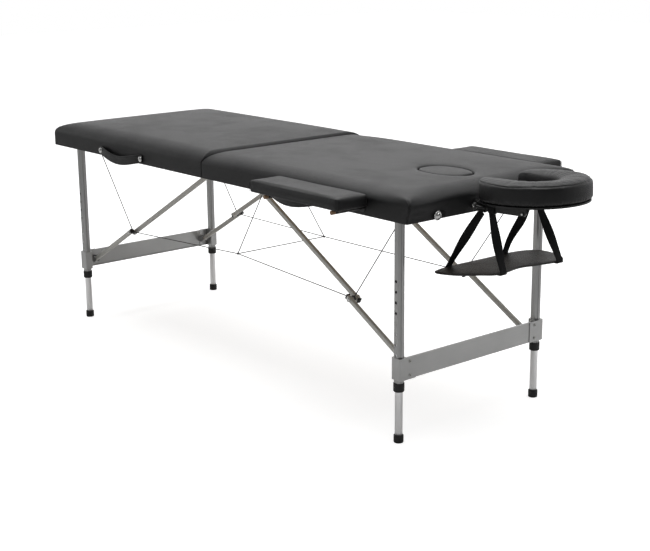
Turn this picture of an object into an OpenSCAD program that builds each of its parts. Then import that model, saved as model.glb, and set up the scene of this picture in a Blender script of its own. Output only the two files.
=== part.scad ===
// Folding massage table. Two padded halves fold face to face on centre hinges. Each half
// carries a pair of telescopic aluminium legs that fold into its hollow frame on a folding
// brace at each side. Steel cables tie the brace elbows. The head half holds a breath hole
// with its plug, two armrests and a tilting face cradle with a hanging arm shelf.
// Frame: millimetres, +Z up, +X towards the head end, origin on the floor at mid-table.

/* [Table top] */
// Length of the padded top, from the foot end to the head end
top_length = 1860; // [1840:10:1920]
// Width of the padded top
top_width = 680; // [660:10:720]
// Height of the underside of the halves above the floor, with the legs as photographed
underside_z = 645; // [640:1:655]
// Depth of the wooden frame under each half
frame_depth = 45; // [44:1:50]
// Thickness of the plywood deck
board_thickness = 5; // [4:1:8]
// Height of the foam cushion over the deck
cushion_height = 33; // [28:1:45]
// How far the middle of a cushion rises over its edges
crown = 5; // [2:1:8]
// How far the rounding of a cushion's edges reaches in over its top
cushion_edge = 60; // [40:1:70]

/* [Breath hole] */
// Distance of the breath hole from mid-table
hole_x = 733; // [700:1:760]
// Length of the breath hole along the table
hole_length = 188; // [150:2:190]
// Width of the breath hole
hole_width = 128; // [110:2:140]

/* [Legs] */
// Distance of each leg's centre from mid-table, along the table
leg_x = 843; // [835:1:850]
// Distance of each leg's centre from the middle line
leg_y = 283; // [275:1:285]
// Diameter of the upper leg extrusion
leg_diameter = 28; // [27:0.5:29]
// Diameter of the lower leg tube
tube_diameter = 22; // [20:0.5:22]
// Height of the snap button, with the legs as photographed
button_z = 348; // [340:1:352]
// Distance between two height holes
hole_pitch = 30; // [28:1:31]
// Height of the bottom of the black collar
collar_z = 153; // [150:1:156]

/* [Braces] */
// Height of the brace pivot on the leg
brace_foot_z = 215; // [200:1:220]
// Distance of the brace pivot under the deck from mid-table
brace_top_x = 55; // [44:1:60]
// Width of a brace tube, across the table
brace_width = 12; // [12:1:16]
// Height of a brace tube
brace_height = 15; // [14:1:18]

/* [Accessories] */
// Diameter of the rods that carry the armrests and the face cradle
rod_diameter = 12; // [10:1:14]
// Length of an armrest
armrest_length = 384; // [360:2:400]
// Width of an armrest
armrest_width = 111; // [90:1:115]
// Height of the top of an armrest
armrest_top_z = 710; // [706:1:716]
// Outer radius of the face cradle pad
cradle_radius = 152; // [145:1:155]
// Distance of the middle of the face cradle pad from mid-table
cradle_x = 1073; // [1070:1:1085]
// Thickness of the face cradle pad
cradle_thickness = 60; // [50:1:65]
// Length of the arm shelf, across the table
shelf_length = 420; // [380:5:440]
// Height of the top of the arm shelf
shelf_z = 490; // [480:1:500]

/* [Hidden] */
$fn = 48;

// Colours, as the photograph shows them
vinyl = "#3a3a3b";
vinyl_dark = "#262626";
wood = "#b98f63";
alloy = "#a5a6a5";
bright_alloy = "#cfd0d0";
steel = "#8c8d8e";
rubber = "#161616";

// Levels and edges of the halves
half_length = top_length / 2;
half_width = top_width / 2;
seam = 0.5;
skin = 1.5;
skin_gap = 0.2;
side_rail = 18;
end_rail = 22;
frame_low = underside_z + 0.3;
frame_top = underside_z + frame_depth;
board_top = frame_top + board_thickness;
cushion_low = board_top + 0.3;
cushion_top = board_top + cushion_height;
inner_y = half_width - skin - skin_gap - side_rail;
inner_x_low = seam + skin + skin_gap + end_rail;
inner_x_high = half_length - skin - skin_gap - end_rail;

// Leg pivots, collars and height holes
pivot_z = underside_z + 22;
leg_radius = leg_diameter / 2;
leg_flat = leg_radius - 1.4;
tube_radius = tube_diameter / 2;
running = 0.08;
leg_top = pivot_z + 12;
collar_height = 23;
leg_low = collar_z + collar_height + 0.3;
holes_above = 4;
holes_below = 3;
hole_radius = 4.2;
button_radius = 3.8;
pivot_radius = 4;
pivot_bore = pivot_radius + 0.06;

// Crossbar and the brackets that hold it on the legs
crossbar_low = 187;
crossbar_height = 62;
bracket_half = 16;
bracket_depth = 14.4;
rivet_y = leg_y - 24;
rivet_z = [crossbar_low + 11, crossbar_low + crossbar_height - 11];
sheet = 2;

// Brace lines: leg pivot, brace foot on the leg and brace top under the deck
brace_rise = pivot_z - brace_foot_z;
brace_run = leg_x - brace_top_x;
brace_span = sqrt(brace_rise * brace_rise + brace_run * brace_run);
brace_angle = atan(brace_rise / brace_run);
// The brace folds flat when its parts differ by as much as its pivots do with the leg folded
folded_gap = (leg_x - brace_rise) - brace_top_x;
upper_brace_length = (brace_span + folded_gap) / 2;
lower_brace_length = (brace_span - folded_gap) / 2;
elbow_x = brace_top_x + upper_brace_length * cos(brace_angle);
elbow_z = pivot_z - upper_brace_length * sin(brace_angle);
lower_brace_y = leg_y - 39;
upper_brace_y = leg_y - 64;
elbow_y = (lower_brace_y + upper_brace_y) / 2;
elbow_gap = 0.6;

// Centre hinges
hinge_y = 215;
hinge_width = 90;
knuckles = 5;
knuckle_radius = 5;
hinge_pin = 2.2;

// Tie cables
cable_radius = 1;
cable_node = [-30, 185, 371];
cable_anchor = [leg_x - 3, elbow_y, frame_top];

// Handles: a padded strap screwed to the side at both ends; the head half's bows out further, so that they lie side by side in the closed case
handle_x = 472;
handle_span = 238;
handle_z = 660;
handle_height = 30;
handle_depth = 5;
foot_handle_bow = 12;
head_handle_bow = 26;
handle_sag = 18;

// Case latches on the head end and the pegs that they hook on the foot end
latch_y = 231;
latch_z = underside_z + 11;
latch_reach = 22;

// Armrests
armrest_x = 593;
armrest_rods = [465, 755];
armrest_inner_y = half_width + 4;
rod_radius = rod_diameter / 2;
rod_z = pivot_z;
socket_radius = rod_radius + 3;
socket_depth = 36;
armrest_board = 5;
armrest_board_low = 679.5;
armrest_board_top = armrest_board_low + armrest_board;

// Face cradle
tilt_x = half_length + 17;
tilt_z = rod_z;
cradle_rod_y = 82;
arm_inner_y = 89;
arm_sheet = 6;
arm_end_x = 1124;
arm_rise = 9.5;
arm_fall = 13;
cradle_tip = 2.5;
deck_low = 681;
deck_thickness = 5;
pad_low = deck_low + deck_thickness + 0.3;
pad_top = pad_low + cradle_thickness;
face_gap_half = 62;
pad_end_x = half_length + 16;

// Arm shelf
shelf_x = 950;
shelf_thickness = 6;
strap_width = 25;
strap_sheet = 1.6;
strap_x = [tilt_x + 18, tilt_x + 55];

// Points of an outline with round corners, a few points on each straight, anticlockwise
function corner(q, ax, ay, r) = [(q == 0 || q == 3 ? 1 : -1) * (ax - r), (q < 2 ? 1 : -1) * (ay - r)];
function arc_point(q, i, n, ax, ay, r) =
    corner(q, ax, ay, r) + r * [cos(90 * q + 90 * i / n), sin(90 * q + 90 * i / n)];
function outline(ax, ay, r, n = 5, m = 9) = [
    for (q = [0:3]) each concat(
        [for (i = [0:n]) arc_point(q, i, n, ax, ay, r)],
        [for (j = [1:m]) let (t = j / (m + 1))
            (1 - t) * arc_point(q, n, n, ax, ay, r) + t * arc_point((q + 1) % 4, 0, n, ax, ay, r)]
    )
];
// The same outline with its sides drawn in between the corners
function drawn_in(points, ax, ay, draw) = [
    for (p = points) [
        p[0] * (1 - draw / ax * (1 - pow(p[1] / ay, 2))),
        p[1] * (1 - draw / ay * (1 - pow(p[0] / ax, 2)))
    ]
];
// Crown of a cushion: 1 in the middle, 0 at the edges
function dome(p, ax, ay) = max(0, 1 - pow(p[0] / ax, 4)) * max(0, 1 - pow(p[1] / ay, 4));
// Loop k of a cushion's rounded edge, from 0 at its foot to 1 where the top begins
function edge_inset(t, r) = r * (1 - cos(90 * t));
function edge_height(t, low, high, r) = t == 0 ? low : high - r * (1 - sin(90 * t));

// Triangles between loops of n points each; closed joins the last loop to the first
function skin_faces(count, n, closed) = [
    for (i = [0:count - (closed ? 1 : 2)], k = [0:n - 1])
        let (a = i * n + k, b = i * n + (k + 1) % n, j = (i + 1) % count)
        let (d = j * n + k, c = j * n + (k + 1) % n)
        each [[a, d, c], [a, c, b]]
];
function mean(points) = [for (i = [0:2]) [for (p = points) p[i]] * [for (p = points) 1] / len(points)];

// A closed solid over loops of equal length, from the lowest loop to the highest
module capped_skin(loops) {
    n = len(loops[0]);
    count = len(loops);
    low = count * n;
    polyhedron(
        points = concat([for (l = loops) each l], [mean(loops[0]), mean(loops[count - 1])]),
        faces = concat(
            skin_faces(count, n, false),
            [for (k = [0:n - 1]) [low, k, (k + 1) % n]],
            [for (k = [0:n - 1]) [low + 1, (count - 1) * n + (k + 1) % n, (count - 1) * n + k]]
        ),
        convexity = 4
    );
}

// A ring-shaped solid over loops of equal length, up its outside and down its inside
module ring_skin(loops) {
    polyhedron(
        points = [for (l = loops) each l],
        faces = skin_faces(len(loops), len(loops[0]), true),
        convexity = 6
    );
}

module both_sides() {
    children();
    mirror([0, 1, 0]) children();
}

// Pieces are drawn for the head half and mirrored for the foot half
module at_foot() {
    mirror([1, 0, 0]) children();
}

module rounded_rect(w, h, r) {
    square([w - 2 * r, h], center = true);
    square([w, h - 2 * r], center = true);
    for (sx = [-1, 1], sy = [-1, 1])
        translate([sx * (w / 2 - r), sy * (h / 2 - r)]) circle(r = r);
}

// A cylinder along X or Y from one coordinate to another
module rod_x(r, x0, x1, y, z) {
    translate([x0, y, z]) rotate([0, 90, 0]) cylinder(r = r, h = x1 - x0);
}
module rod_y(r, x, y0, y1, z) {
    translate([x, y0, z]) rotate([-90, 0, 0]) cylinder(r = r, h = y1 - y0);
}

// A round bar between two points
module bar(a, b, r) {
    v = b - a;
    translate(a)
        rotate([0, atan2(norm([v[0], v[1]]), v[2]), atan2(v[1], v[0])])
            cylinder(r = r, h = norm(v), $fn = 16);
}

// Padded halves
module half_slab(low, high, inset, radius) {
    x0 = seam + inset;
    x1 = half_length - inset;
    translate([(x0 + x1) / 2, 0, low])
        linear_extrude(high - low)
            rounded_rect(x1 - x0, top_width - 2 * inset, radius);
}

module hinge_recess() {
    both_sides() translate([0, hinge_y - hinge_width / 2 - 1.5, underside_z - 1]) {
        cube([6.5, hinge_width + 3, 8]);
        cube([27, hinge_width + 3, 4]);
    }
}

module half_frame() {
    inset = skin + skin_gap;
    difference() {
        half_slab(frame_low, frame_top - 0.2, inset, 8);
        translate([inner_x_low, -inner_y, frame_low - 1])
            cube([inner_x_high - inner_x_low, 2 * inner_y, frame_depth + 2]);
        hinge_recess();
    }
    translate([inner_x_low - 1, -15, frame_top - 12])
        cube([inner_x_high - inner_x_low + 2, 30, 11.8]);
}

module half_side_vinyl() {
    difference() {
        half_slab(frame_low + 0.1, board_top, 0, 9.5);
        half_slab(frame_low - 1, board_top + 1, skin, 8);
        hinge_recess();
    }
}

module half_board() {
    half_slab(frame_top, board_top, skin + skin_gap, 8);
}

// Holes for the rods that hold the armrests and the face cradle
module socket_holes(extra) {
    both_sides() {
        rod_x(socket_radius + extra, inner_x_high - 5, half_length + 5, cradle_rod_y, rod_z);
        for (x = armrest_rods)
            rod_y(socket_radius + extra, x, inner_y - 5, half_width + 5, rod_z);
    }
}

module breath_hole(low, high, clearance) {
    a = hole_length / 2 + clearance;
    b = hole_width / 2 + clearance;
    flat = a - b;
    translate([hole_x, 0, low]) linear_extrude(high - low) {
        square([2 * flat, 2 * b], center = true);
        for (s = [-1, 1]) translate([s * flat, 0]) circle(r = b);
    }
}

half_ax = (half_length - seam) / 2 - 0.3;
half_ay = half_width;
half_mid = (half_length + seam) / 2;
edge_steps = [0, 0.2, 0.4, 0.6, 0.8, 1];
// The rounding starts on the side vinyl, below the cushion
edge_start_z = 683;
edge_rise = cushion_top - crown - edge_start_z;
edge_start_angle = asin((cushion_low - edge_start_z) / edge_rise);
// Share of the rounding at the seam between the halves
seam_share = 0.22;
top_steps = [0.25, 0.5, 0.75];

// One loop of the cushion's outer form, about the middle of the half
function cushion_edge_loop(t) =
    let (w = edge_start_angle + t * (90 - edge_start_angle), inset = cushion_edge * (1 - cos(w)))
    let (ax = half_ax - inset * (1 + seam_share) / 2, ay = half_ay - inset)
    let (shift = -inset * (1 - seam_share) / 2)
    [for (p = drawn_in(outline(ax, ay, 6 + 0.45 * inset), ax, ay, 1.5))
        [p[0] + shift, p[1], edge_start_z + edge_rise * sin(w)]];

module foot_cushion_form() {
    rim = cushion_edge_loop(1);
    capped_skin(concat(
        [for (t = edge_steps) cushion_edge_loop(t)],
        [for (s = top_steps) [for (p = rim)
            let (q = (1 - s) * [p[0], p[1]])
            [q[0], q[1], cushion_top - crown + crown * dome(q, half_ax - 20, half_ay - 20)]]]
    ));
}

// Point k of the breath hole's rim, about the middle of the half
function hole_rim(k, count, grow) =
    let (w = 360 * (k + 5) / count)
    [hole_x - half_mid + (hole_length / 2 + grow) * cos(w), (hole_width / 2 + grow) * sin(w)];

module head_cushion_form() {
    rim = cushion_edge_loop(1);
    n = len(rim);
    lip = 7;
    base = cushion_top - crown;
    function raised(q, down) =
        [q[0], q[1], base - down + crown * dome(q, half_ax - 20, half_ay - 20)];
    ring_skin(concat(
        [for (t = edge_steps) cushion_edge_loop(t)],
        [for (s = top_steps) [for (k = [0:n - 1])
            raised((1 - s) * [rim[k][0], rim[k][1]] + s * hole_rim(k, n, lip), 0)]],
        [for (g = [[lip, 0.5], [0.3 * lip, 2.5], [0, lip]]) [for (k = [0:n - 1])
            raised(hole_rim(k, n, g[0]), g[1])]],
        [[for (k = [0:n - 1]) let (q = hole_rim(k, n, 0)) [q[0], q[1], cushion_low]]]
    ));
}

module foot_frame() color(wood) at_foot() half_frame();
module foot_board() color(wood) at_foot() half_board();
module foot_side_vinyl() color(vinyl) at_foot() half_side_vinyl();
module foot_cushion() color(vinyl) at_foot() translate([half_mid, 0, 0]) foot_cushion_form();

module head_frame() color(wood) difference() {
    half_frame();
    socket_holes(0.2);
    breath_hole(frame_top - 20, frame_top + 1, 4);
}
module head_board() color(wood) difference() {
    half_board();
    breath_hole(frame_top - 1, board_top + 1, -8);
}
module head_side_vinyl() color(vinyl) difference() {
    half_side_vinyl();
    socket_holes(0.2);
}
module head_cushion() color(vinyl) translate([half_mid, 0, 0]) head_cushion_form();

// The plug fills the breath hole and rests on the deck around the smaller hole in it
module breath_plug() {
    turns = 32;
    a = hole_length / 2 - 1;
    b = hole_width / 2 - 1;
    low = cushion_low + 0.2;
    high = cushion_top + 1;
    loops = [[0, 0], [2, 0.3], [2, 0.6], [0, 0.85], [5, 0.95], [14, 1]];
    color(vinyl) translate([hole_x, 0, 0]) capped_skin([
        for (g = loops) [for (k = [0:turns - 1])
            let (w = 360 * k / turns)
            [(a - g[0]) * cos(w), (b - g[0]) * sin(w), low + g[1] * (high - low)]]
    ]);
}

// Handles
function handle_point(t, bow) = [
    handle_span * (t - 0.5),
    -half_width - handle_depth / 2 - 1.2 - bow * sqrt(sin(180 * t)),
    handle_z + 3 - handle_sag * sin(180 * t)
];
module half_handle(bow) {
    steps = 20;
    low_high = handle_height / 2 * [-1, 1];
    loops = [for (i = [0:steps])
        let (p = handle_point(0.001 + 0.998 * i / steps, bow), h = handle_depth / 2)
        [for (c = [[-h, -1], [h, -1], [h, 1], [-h, 1]])
            [p[0], p[1] + c[0], p[2] + c[1] * low_high[1]]]];
    translate([handle_x, 0, 0]) {
        mirror([0, 0, 0]) capped_skin(loops);
        for (s = [-1, 1])
            translate([s * (handle_span / 2 + 7), -half_width - 3.7, handle_z + 3])
                rotate([90, 0, 0]) linear_extrude(handle_depth, center = true)
                    rounded_rect(16, handle_height, 4);
    }
}
module handle_screws() {
    for (s = [-1, 1]) translate([handle_x + s * (handle_span / 2 + 7), 0, handle_z + 3]) {
        rod_y(6.5, 0, -half_width - 7.8, -half_width - 6.4, 0);
        rod_y(4.5, 0, -half_width - 9.6, -half_width - 7.7, 0);
    }
}
module foot_handle() color(vinyl_dark) at_foot() half_handle(foot_handle_bow);
module head_handle() color(vinyl_dark) half_handle(head_handle_bow);
module foot_fasteners() color(bright_alloy) at_foot() handle_screws();
module head_fasteners() color(bright_alloy) {
    handle_screws();
    both_sides() {
        rod_x(3, half_length + 0.2, half_length + 9, latch_y, latch_z);
        rod_x(8, half_length + 0.2, half_length + 2.2, latch_y, latch_z);
        rod_x(5, half_length + 8, half_length + 10, latch_y, latch_z);
    }
}

// Case latches: a hook that turns down over the other half's peg
module latch_hook() {
    translate([half_length + 2.7, latch_y, latch_z]) rotate([0, 90, 0]) difference() {
        union() {
            cylinder(r = 11, h = 4.6);
            translate([-9, -latch_reach - 8, 2]) cube([18, latch_reach + 8, 2.6]);
        }
        translate([0, 0, -1]) cylinder(r = 3.1, h = 8);
        translate([-3.2, -latch_reach - 3.2, -1]) cube([14, 6.4, 8]);
    }
}
module far_latch() color(bright_alloy) latch_hook();
module near_latch() color(bright_alloy) mirror([0, 1, 0]) latch_hook();
module latch_keepers() color(bright_alloy) at_foot() both_sides() {
    rod_x(2.5, half_length + 2, half_length + 8.4, latch_y, latch_z);
    translate([half_length + 0.2, latch_y - 12, latch_z - 8]) cube([2, 24, 16]);
}

// Centre hinges
module hinge_leaf(first) {
    segment = hinge_width / knuckles;
    for (y = [-hinge_y, hinge_y]) translate([0, y - hinge_width / 2, underside_z]) difference() {
        union() {
            translate([6.2, 0, 0.6]) cube([20, hinge_width, 2]);
            for (k = [first:2:knuckles - 1]) {
                rod_y(knuckle_radius, 0, k * segment + 0.2, (k + 1) * segment - 0.2, 0);
                translate([0, k * segment + 0.2, 0.6]) cube([7, segment - 0.4, 2]);
            }
        }
        rod_y(hinge_pin + 0.05, 0, -1, hinge_width + 1, 0);
    }
}
module foot_hinge_leaves() color(steel) at_foot() hinge_leaf(0);
module head_hinge_leaves() color(steel) hinge_leaf(1);
module centre_hinge_pins() color(steel)
    for (y = [-hinge_y, hinge_y])
        rod_y(hinge_pin, 0, y - hinge_width / 2 - 0.9, y + hinge_width / 2 + 0.9, underside_z);

// Leg hinges: two ears under the deck with a pin through the top of the leg
module leg_hinge() {
    ear = leg_flat + 2.6;
    translate([leg_x, leg_y, 0]) difference() {
        union() {
            translate([-24, -ear - 2.4, frame_top - 3]) cube([48, 2 * ear + 4.8, 2.6]);
            for (s = [-1, 1]) {
                rod_y(11, 0, s > 0 ? ear : -ear - 2.4, s > 0 ? ear + 2.4 : -ear, pivot_z);
                translate([-11, s > 0 ? ear : -ear - 2.4, pivot_z])
                    cube([22, 2.4, frame_top - pivot_z - 1]);
            }
        }
    }
    rod_y(pivot_radius, leg_x, leg_y - ear - 1, leg_y + ear + 1, pivot_z);
    for (y = [leg_y - ear - 4, leg_y + ear + 2.3]) rod_y(6, leg_x, y, y + 1.7, pivot_z);
}
module foot_leg_hinges() color(steel) at_foot() both_sides() leg_hinge();
module head_leg_hinges() color(steel) both_sides() leg_hinge();

// Brace hinges: the same under the deck near mid-table
module brace_hinge() {
    ear = brace_width / 2 + 0.8;
    translate([brace_top_x, upper_brace_y, 0]) {
        translate([-12, -ear - 2, frame_top - 3]) cube([30, 2 * ear + 4, 2.6]);
        for (s = [-1, 1]) {
            rod_y(10, 0, s > 0 ? ear : -ear - 2, s > 0 ? ear + 2 : -ear, pivot_z);
            translate([-10, s > 0 ? ear : -ear - 2, pivot_z])
                cube([20, 2, frame_top - pivot_z - 1]);
        }
        rod_y(pivot_radius, 0, -ear - 3.4, ear + 3.4, pivot_z);
    }
}
module foot_brace_hinges() color(steel) at_foot() both_sides() brace_hinge();
module head_brace_hinges() color(steel) both_sides() brace_hinge();

// Upper legs: round extrusions with flats, a groove on the outer face and the height holes
module upper_leg() {
    difference() {
        translate([leg_x, leg_y, leg_low]) linear_extrude(leg_top - leg_low) difference() {
            intersection() {
                circle(r = leg_radius);
                square([2 * leg_radius + 1, 2 * leg_flat], center = true);
            }
            circle(r = tube_radius + running);
            for (s = [-1, 1], y = [-5, 5])
                translate([s * (leg_radius - 1), y]) square([1.4, 1.6], center = true);
        }
        for (k = [-holes_below:holes_above])
            rod_y(hole_radius, leg_x, leg_y + 5, leg_y + leg_radius + 2, button_z + k * hole_pitch);
        rod_y(pivot_bore, leg_x, leg_y - leg_radius - 2, leg_y + leg_radius + 2, pivot_z);
    }
}
module foot_upper_legs() color(alloy) at_foot() both_sides() upper_leg();
module head_upper_legs() color(alloy) both_sides() upper_leg();

module leg_collar() {
    translate([leg_x, leg_y, collar_z]) difference() {
        union() {
            cylinder(r = 15.8, h = collar_height);
            translate([0, 0, -2]) cylinder(r1 = 14.4, r2 = 15.8, h = 2);
        }
        translate([0, 0, -3]) cylinder(r = tube_radius + running, h = collar_height + 6);
    }
}
module foot_leg_collars() color(rubber) at_foot() both_sides() leg_collar();
module head_leg_collars() color(rubber) both_sides() leg_collar();

// Crossbar: a shallow channel on the outer side of the legs
module crossbar() {
    half = leg_y - bracket_half - 0.6;
    low = crossbar_low;
    outer = leg_x + bracket_half + 2;
    difference() {
        translate([outer - sheet, -half, low]) cube([sheet, 2 * half, crossbar_height]);
        for (y = [-rivet_y, rivet_y], z = rivet_z) rod_x(3, outer - 4, outer + 2, y, z);
    }
    for (z = [low, low + crossbar_height - sheet])
        translate([outer - 7, -half, z]) cube([7, 2 * half, sheet]);
}
module foot_crossbar() color(alloy) at_foot() crossbar();
module head_crossbar() color(alloy) crossbar();

// Bracket: a sleeve round the leg and a tongue over the crossbar, riveted through it to a
// fork that holds the brace's pin
module crossbar_bracket() {
    low = crossbar_low - 1;
    height = crossbar_height + 2;
    inner_face = leg_x + bracket_half + 2;
    ears = [lower_brace_y - brace_width / 2 - 3, lower_brace_y + brace_width / 2 + 1];
    difference() {
        union() {
            translate([leg_x, leg_y, low]) linear_extrude(height)
                rounded_rect(2 * bracket_half, 2 * bracket_depth, 4);
            translate([leg_x + bracket_half - 3, leg_y - bracket_depth + 0.2, low])
                cube([5.3, 2 * bracket_depth - 4, height]);
            translate([inner_face + 0.1, leg_y - bracket_half - 30, low])
                cube([sheet, bracket_half + 40, height]);
            tongue_edge(inner_face + 0.1, low, height);
        }
        translate([leg_x, leg_y, low - 1]) linear_extrude(height + 2) intersection() {
            circle(r = leg_radius + 0.1);
            square([2 * leg_radius + 2, 2 * leg_flat + 0.2], center = true);
        }
    }
    for (z = rivet_z) {
        rod_x(2.9, inner_face - 4.2, inner_face + 2.2, rivet_y, z);
        rod_x(4.6, inner_face + 2.1, inner_face + 3.3, rivet_y, z);
    }
    translate([inner_face - 4.2, ears[0], low + 4])
        cube([sheet, rivet_y + 5 - ears[0], height - 8]);
    for (y = ears) {
        rod_y(11, leg_x, y, y + 2, brace_foot_z);
        translate([leg_x, y, brace_foot_z - 11]) cube([inner_face - 2.2 - leg_x, 2, 22]);
    }
    rod_y(pivot_radius, leg_x, ears[0] - 1.6, ears[1] + 3.6, brace_foot_z);
}
// Rounded outer edge of the tongue, where the sheet wraps round the leg
module tongue_edge(x, low, height) {
    translate([x - 2, leg_y + 10, low]) intersection() {
        cylinder(r = 4, h = height);
        translate([0, 0, -1]) cube([5, 5, height + 2]);
    }
}
module foot_crossbar_brackets() color(alloy) at_foot() both_sides() crossbar_bracket();
module head_crossbar_brackets() color(alloy) both_sides() crossbar_bracket();

// Telescopic lower legs
module lower_tube() {
    translate([leg_x, leg_y, 6.3]) difference() {
        cylinder(r = tube_radius, h = button_z + 18);
        translate([0, 0, -1]) cylinder(r = tube_radius - 1.6, h = button_z + 22);
        rod_y(button_radius + 0.3, 0, 2, tube_radius + 2, button_z - 6.3);
    }
}
module foot_pad() {
    translate([leg_x, leg_y, 0]) difference() {
        union() {
            cylinder(r1 = 13, r2 = 14.3, h = 2);
            translate([0, 0, 2]) cylinder(r = 14.3, h = 19);
            translate([0, 0, 21]) cylinder(r1 = 14.3, r2 = 12.8, h = 2);
        }
        translate([0, 0, 6]) cylinder(r = tube_radius + 0.05, h = 30);
    }
}
// Snap button on its bent spring strip, which sits inside the tube
module snap_button() {
    inside = tube_radius - 1.9;
    translate([leg_x, leg_y, 0]) {
        rod_y(button_radius, 0, inside - 1.2, leg_flat + 0.7, button_z);
        translate([-3, inside - 1.6, button_z - 60]) cube([6, 0.8, 65]);
        translate([-3, -inside + 0.8, button_z - 60]) cube([6, 2 * inside - 2.4, 0.8]);
        translate([-3, -inside + 0.8, button_z - 60]) cube([6, 0.8, 65]);
    }
}
module foot_near_tube() color(bright_alloy) at_foot() mirror([0, 1, 0]) lower_tube();
module foot_near_pad() color(rubber) at_foot() mirror([0, 1, 0]) foot_pad();
module foot_near_button() color(steel) at_foot() mirror([0, 1, 0]) snap_button();
module foot_far_tube() color(bright_alloy) at_foot() lower_tube();
module foot_far_pad() color(rubber) at_foot() foot_pad();
module foot_far_button() color(steel) at_foot() snap_button();
module head_near_tube() color(bright_alloy) mirror([0, 1, 0]) lower_tube();
module head_near_pad() color(rubber) mirror([0, 1, 0]) foot_pad();
module head_near_button() color(steel) mirror([0, 1, 0]) snap_button();
module head_far_tube() color(bright_alloy) lower_tube();
module head_far_pad() color(rubber) foot_pad();
module head_far_button() color(steel) snap_button();

// A brace tube along +X from its first pivot, with plugs in both ends
module brace_tube(length, before, after) {
    wall = 1.6;
    inside = [brace_width - 2 * wall, brace_height - 2 * wall];
    difference() {
        translate([-before, 0, 0]) rotate([90, 0, 90])
            linear_extrude(length + before + after) difference() {
                rounded_rect(brace_width, brace_height, 3);
                rounded_rect(inside[0], inside[1], 1.5);
            }
        rod_y(pivot_bore, 0, -brace_width, brace_width, 0);
    }
    difference() {
        translate([-before - 1.5, 0, 0]) rotate([90, 0, 90]) linear_extrude(before - 3.5)
            rounded_rect(inside[0] - 0.2, inside[1] - 0.2, 1.4);
        rod_y(pivot_bore, 0, -brace_width, brace_width, 0);
    }
    translate([length + after - 4.5, 0, 0]) rotate([90, 0, 90]) linear_extrude(6)
        rounded_rect(inside[0] - 0.2, inside[1] - 0.2, 1.4);
}
// The two halves of a brace lie side by side; the pin between them is open at the elbow
module upper_brace() {
    half = brace_width / 2;
    translate([brace_top_x, upper_brace_y, pivot_z]) rotate([0, brace_angle, 0]) {
        brace_tube(upper_brace_length, 12, 14);
        rod_y(5, upper_brace_length, half - 1, elbow_y - upper_brace_y - elbow_gap / 2, 0);
        rod_y(7.5, upper_brace_length, -half - 2, -half + 1, 0);
    }
}
module lower_brace() {
    half = brace_width / 2;
    translate([leg_x, lower_brace_y, brace_foot_z]) rotate([0, 180 + brace_angle, 0]) {
        brace_tube(lower_brace_length, 8, 14);
        rod_y(5, lower_brace_length, elbow_y - lower_brace_y + elbow_gap / 2, -half + 1, 0);
        rod_y(7.5, lower_brace_length, half - 1, half + 2, 0);
    }
}
module foot_upper_braces() color(alloy) at_foot() both_sides() upper_brace();
module foot_lower_braces() color(alloy) at_foot() both_sides() lower_brace();
module head_upper_braces() color(alloy) both_sides() upper_brace();
module head_lower_braces() color(alloy) both_sides() lower_brace();

// Tie cables: a ring on each elbow pin, one cable up to the deck and one to mid-table
module side_cables(node_x, stop) {
    elbow = [elbow_x, elbow_y, elbow_z];
    tie = [node_x, cable_node[1], cable_node[2]];
    difference() {
        rod_y(9, elbow_x, elbow_y - 2.1, elbow_y + 2.1, elbow_z);
        rod_y(5.5, elbow_x, elbow_y - 3, elbow_y + 3, elbow_z);
    }
    up = cable_anchor - elbow;
    bar(elbow + 8 * up / norm(up), cable_anchor - [0, 0, 2], cable_radius);
    translate(cable_anchor - [0, 0, 3.5]) cylinder(r = 4, h = 3);
    bar(elbow + 8 * up / norm(up), elbow + 26 * up / norm(up), 1.8 * cable_radius);
    along = tie - elbow;
    bar(elbow + 8 * along / norm(along), tie - stop * along / norm(along), cable_radius);
}
// The foot half also holds the rings at mid-table, what ties them, and the two cables above
module foot_cables() color(steel) {
    at_foot() both_sides() side_cables(-cable_node[0], 2);
    anchor_z = frame_top - 12.3;
    both_sides() {
        translate(cable_node) sphere(r = 4, $fn = 24);
        bar(cable_node, [cable_node[0] - 3, 6, anchor_z - 2], cable_radius);
    }
    bar([cable_node[0], -cable_node[1], cable_node[2]], cable_node, cable_radius);
    translate([cable_node[0] - 9, -9, anchor_z - 4]) cube([12, 18, 4]);
}
module head_cables() color(steel) both_sides() side_cables(cable_node[0], 4.6);

// Sockets for the rods of the armrests and the face cradle
module socket_end() {
    difference() {
        union() {
            cylinder(r = 13, h = 2);
            translate([0, 0, -socket_depth]) cylinder(r = socket_radius, h = socket_depth + 1);
        }
        translate([0, 0, -socket_depth - 1]) cylinder(r = rod_radius + 0.06, h = socket_depth + 4);
    }
}
module rod_sockets() color(rubber) both_sides() {
    translate([half_length + 0.2, cradle_rod_y, rod_z]) rotate([0, 90, 0]) socket_end();
    for (x = armrest_rods)
        translate([x, half_width + 0.2, rod_z]) rotate([-90, 0, 0]) socket_end();
}

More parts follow.
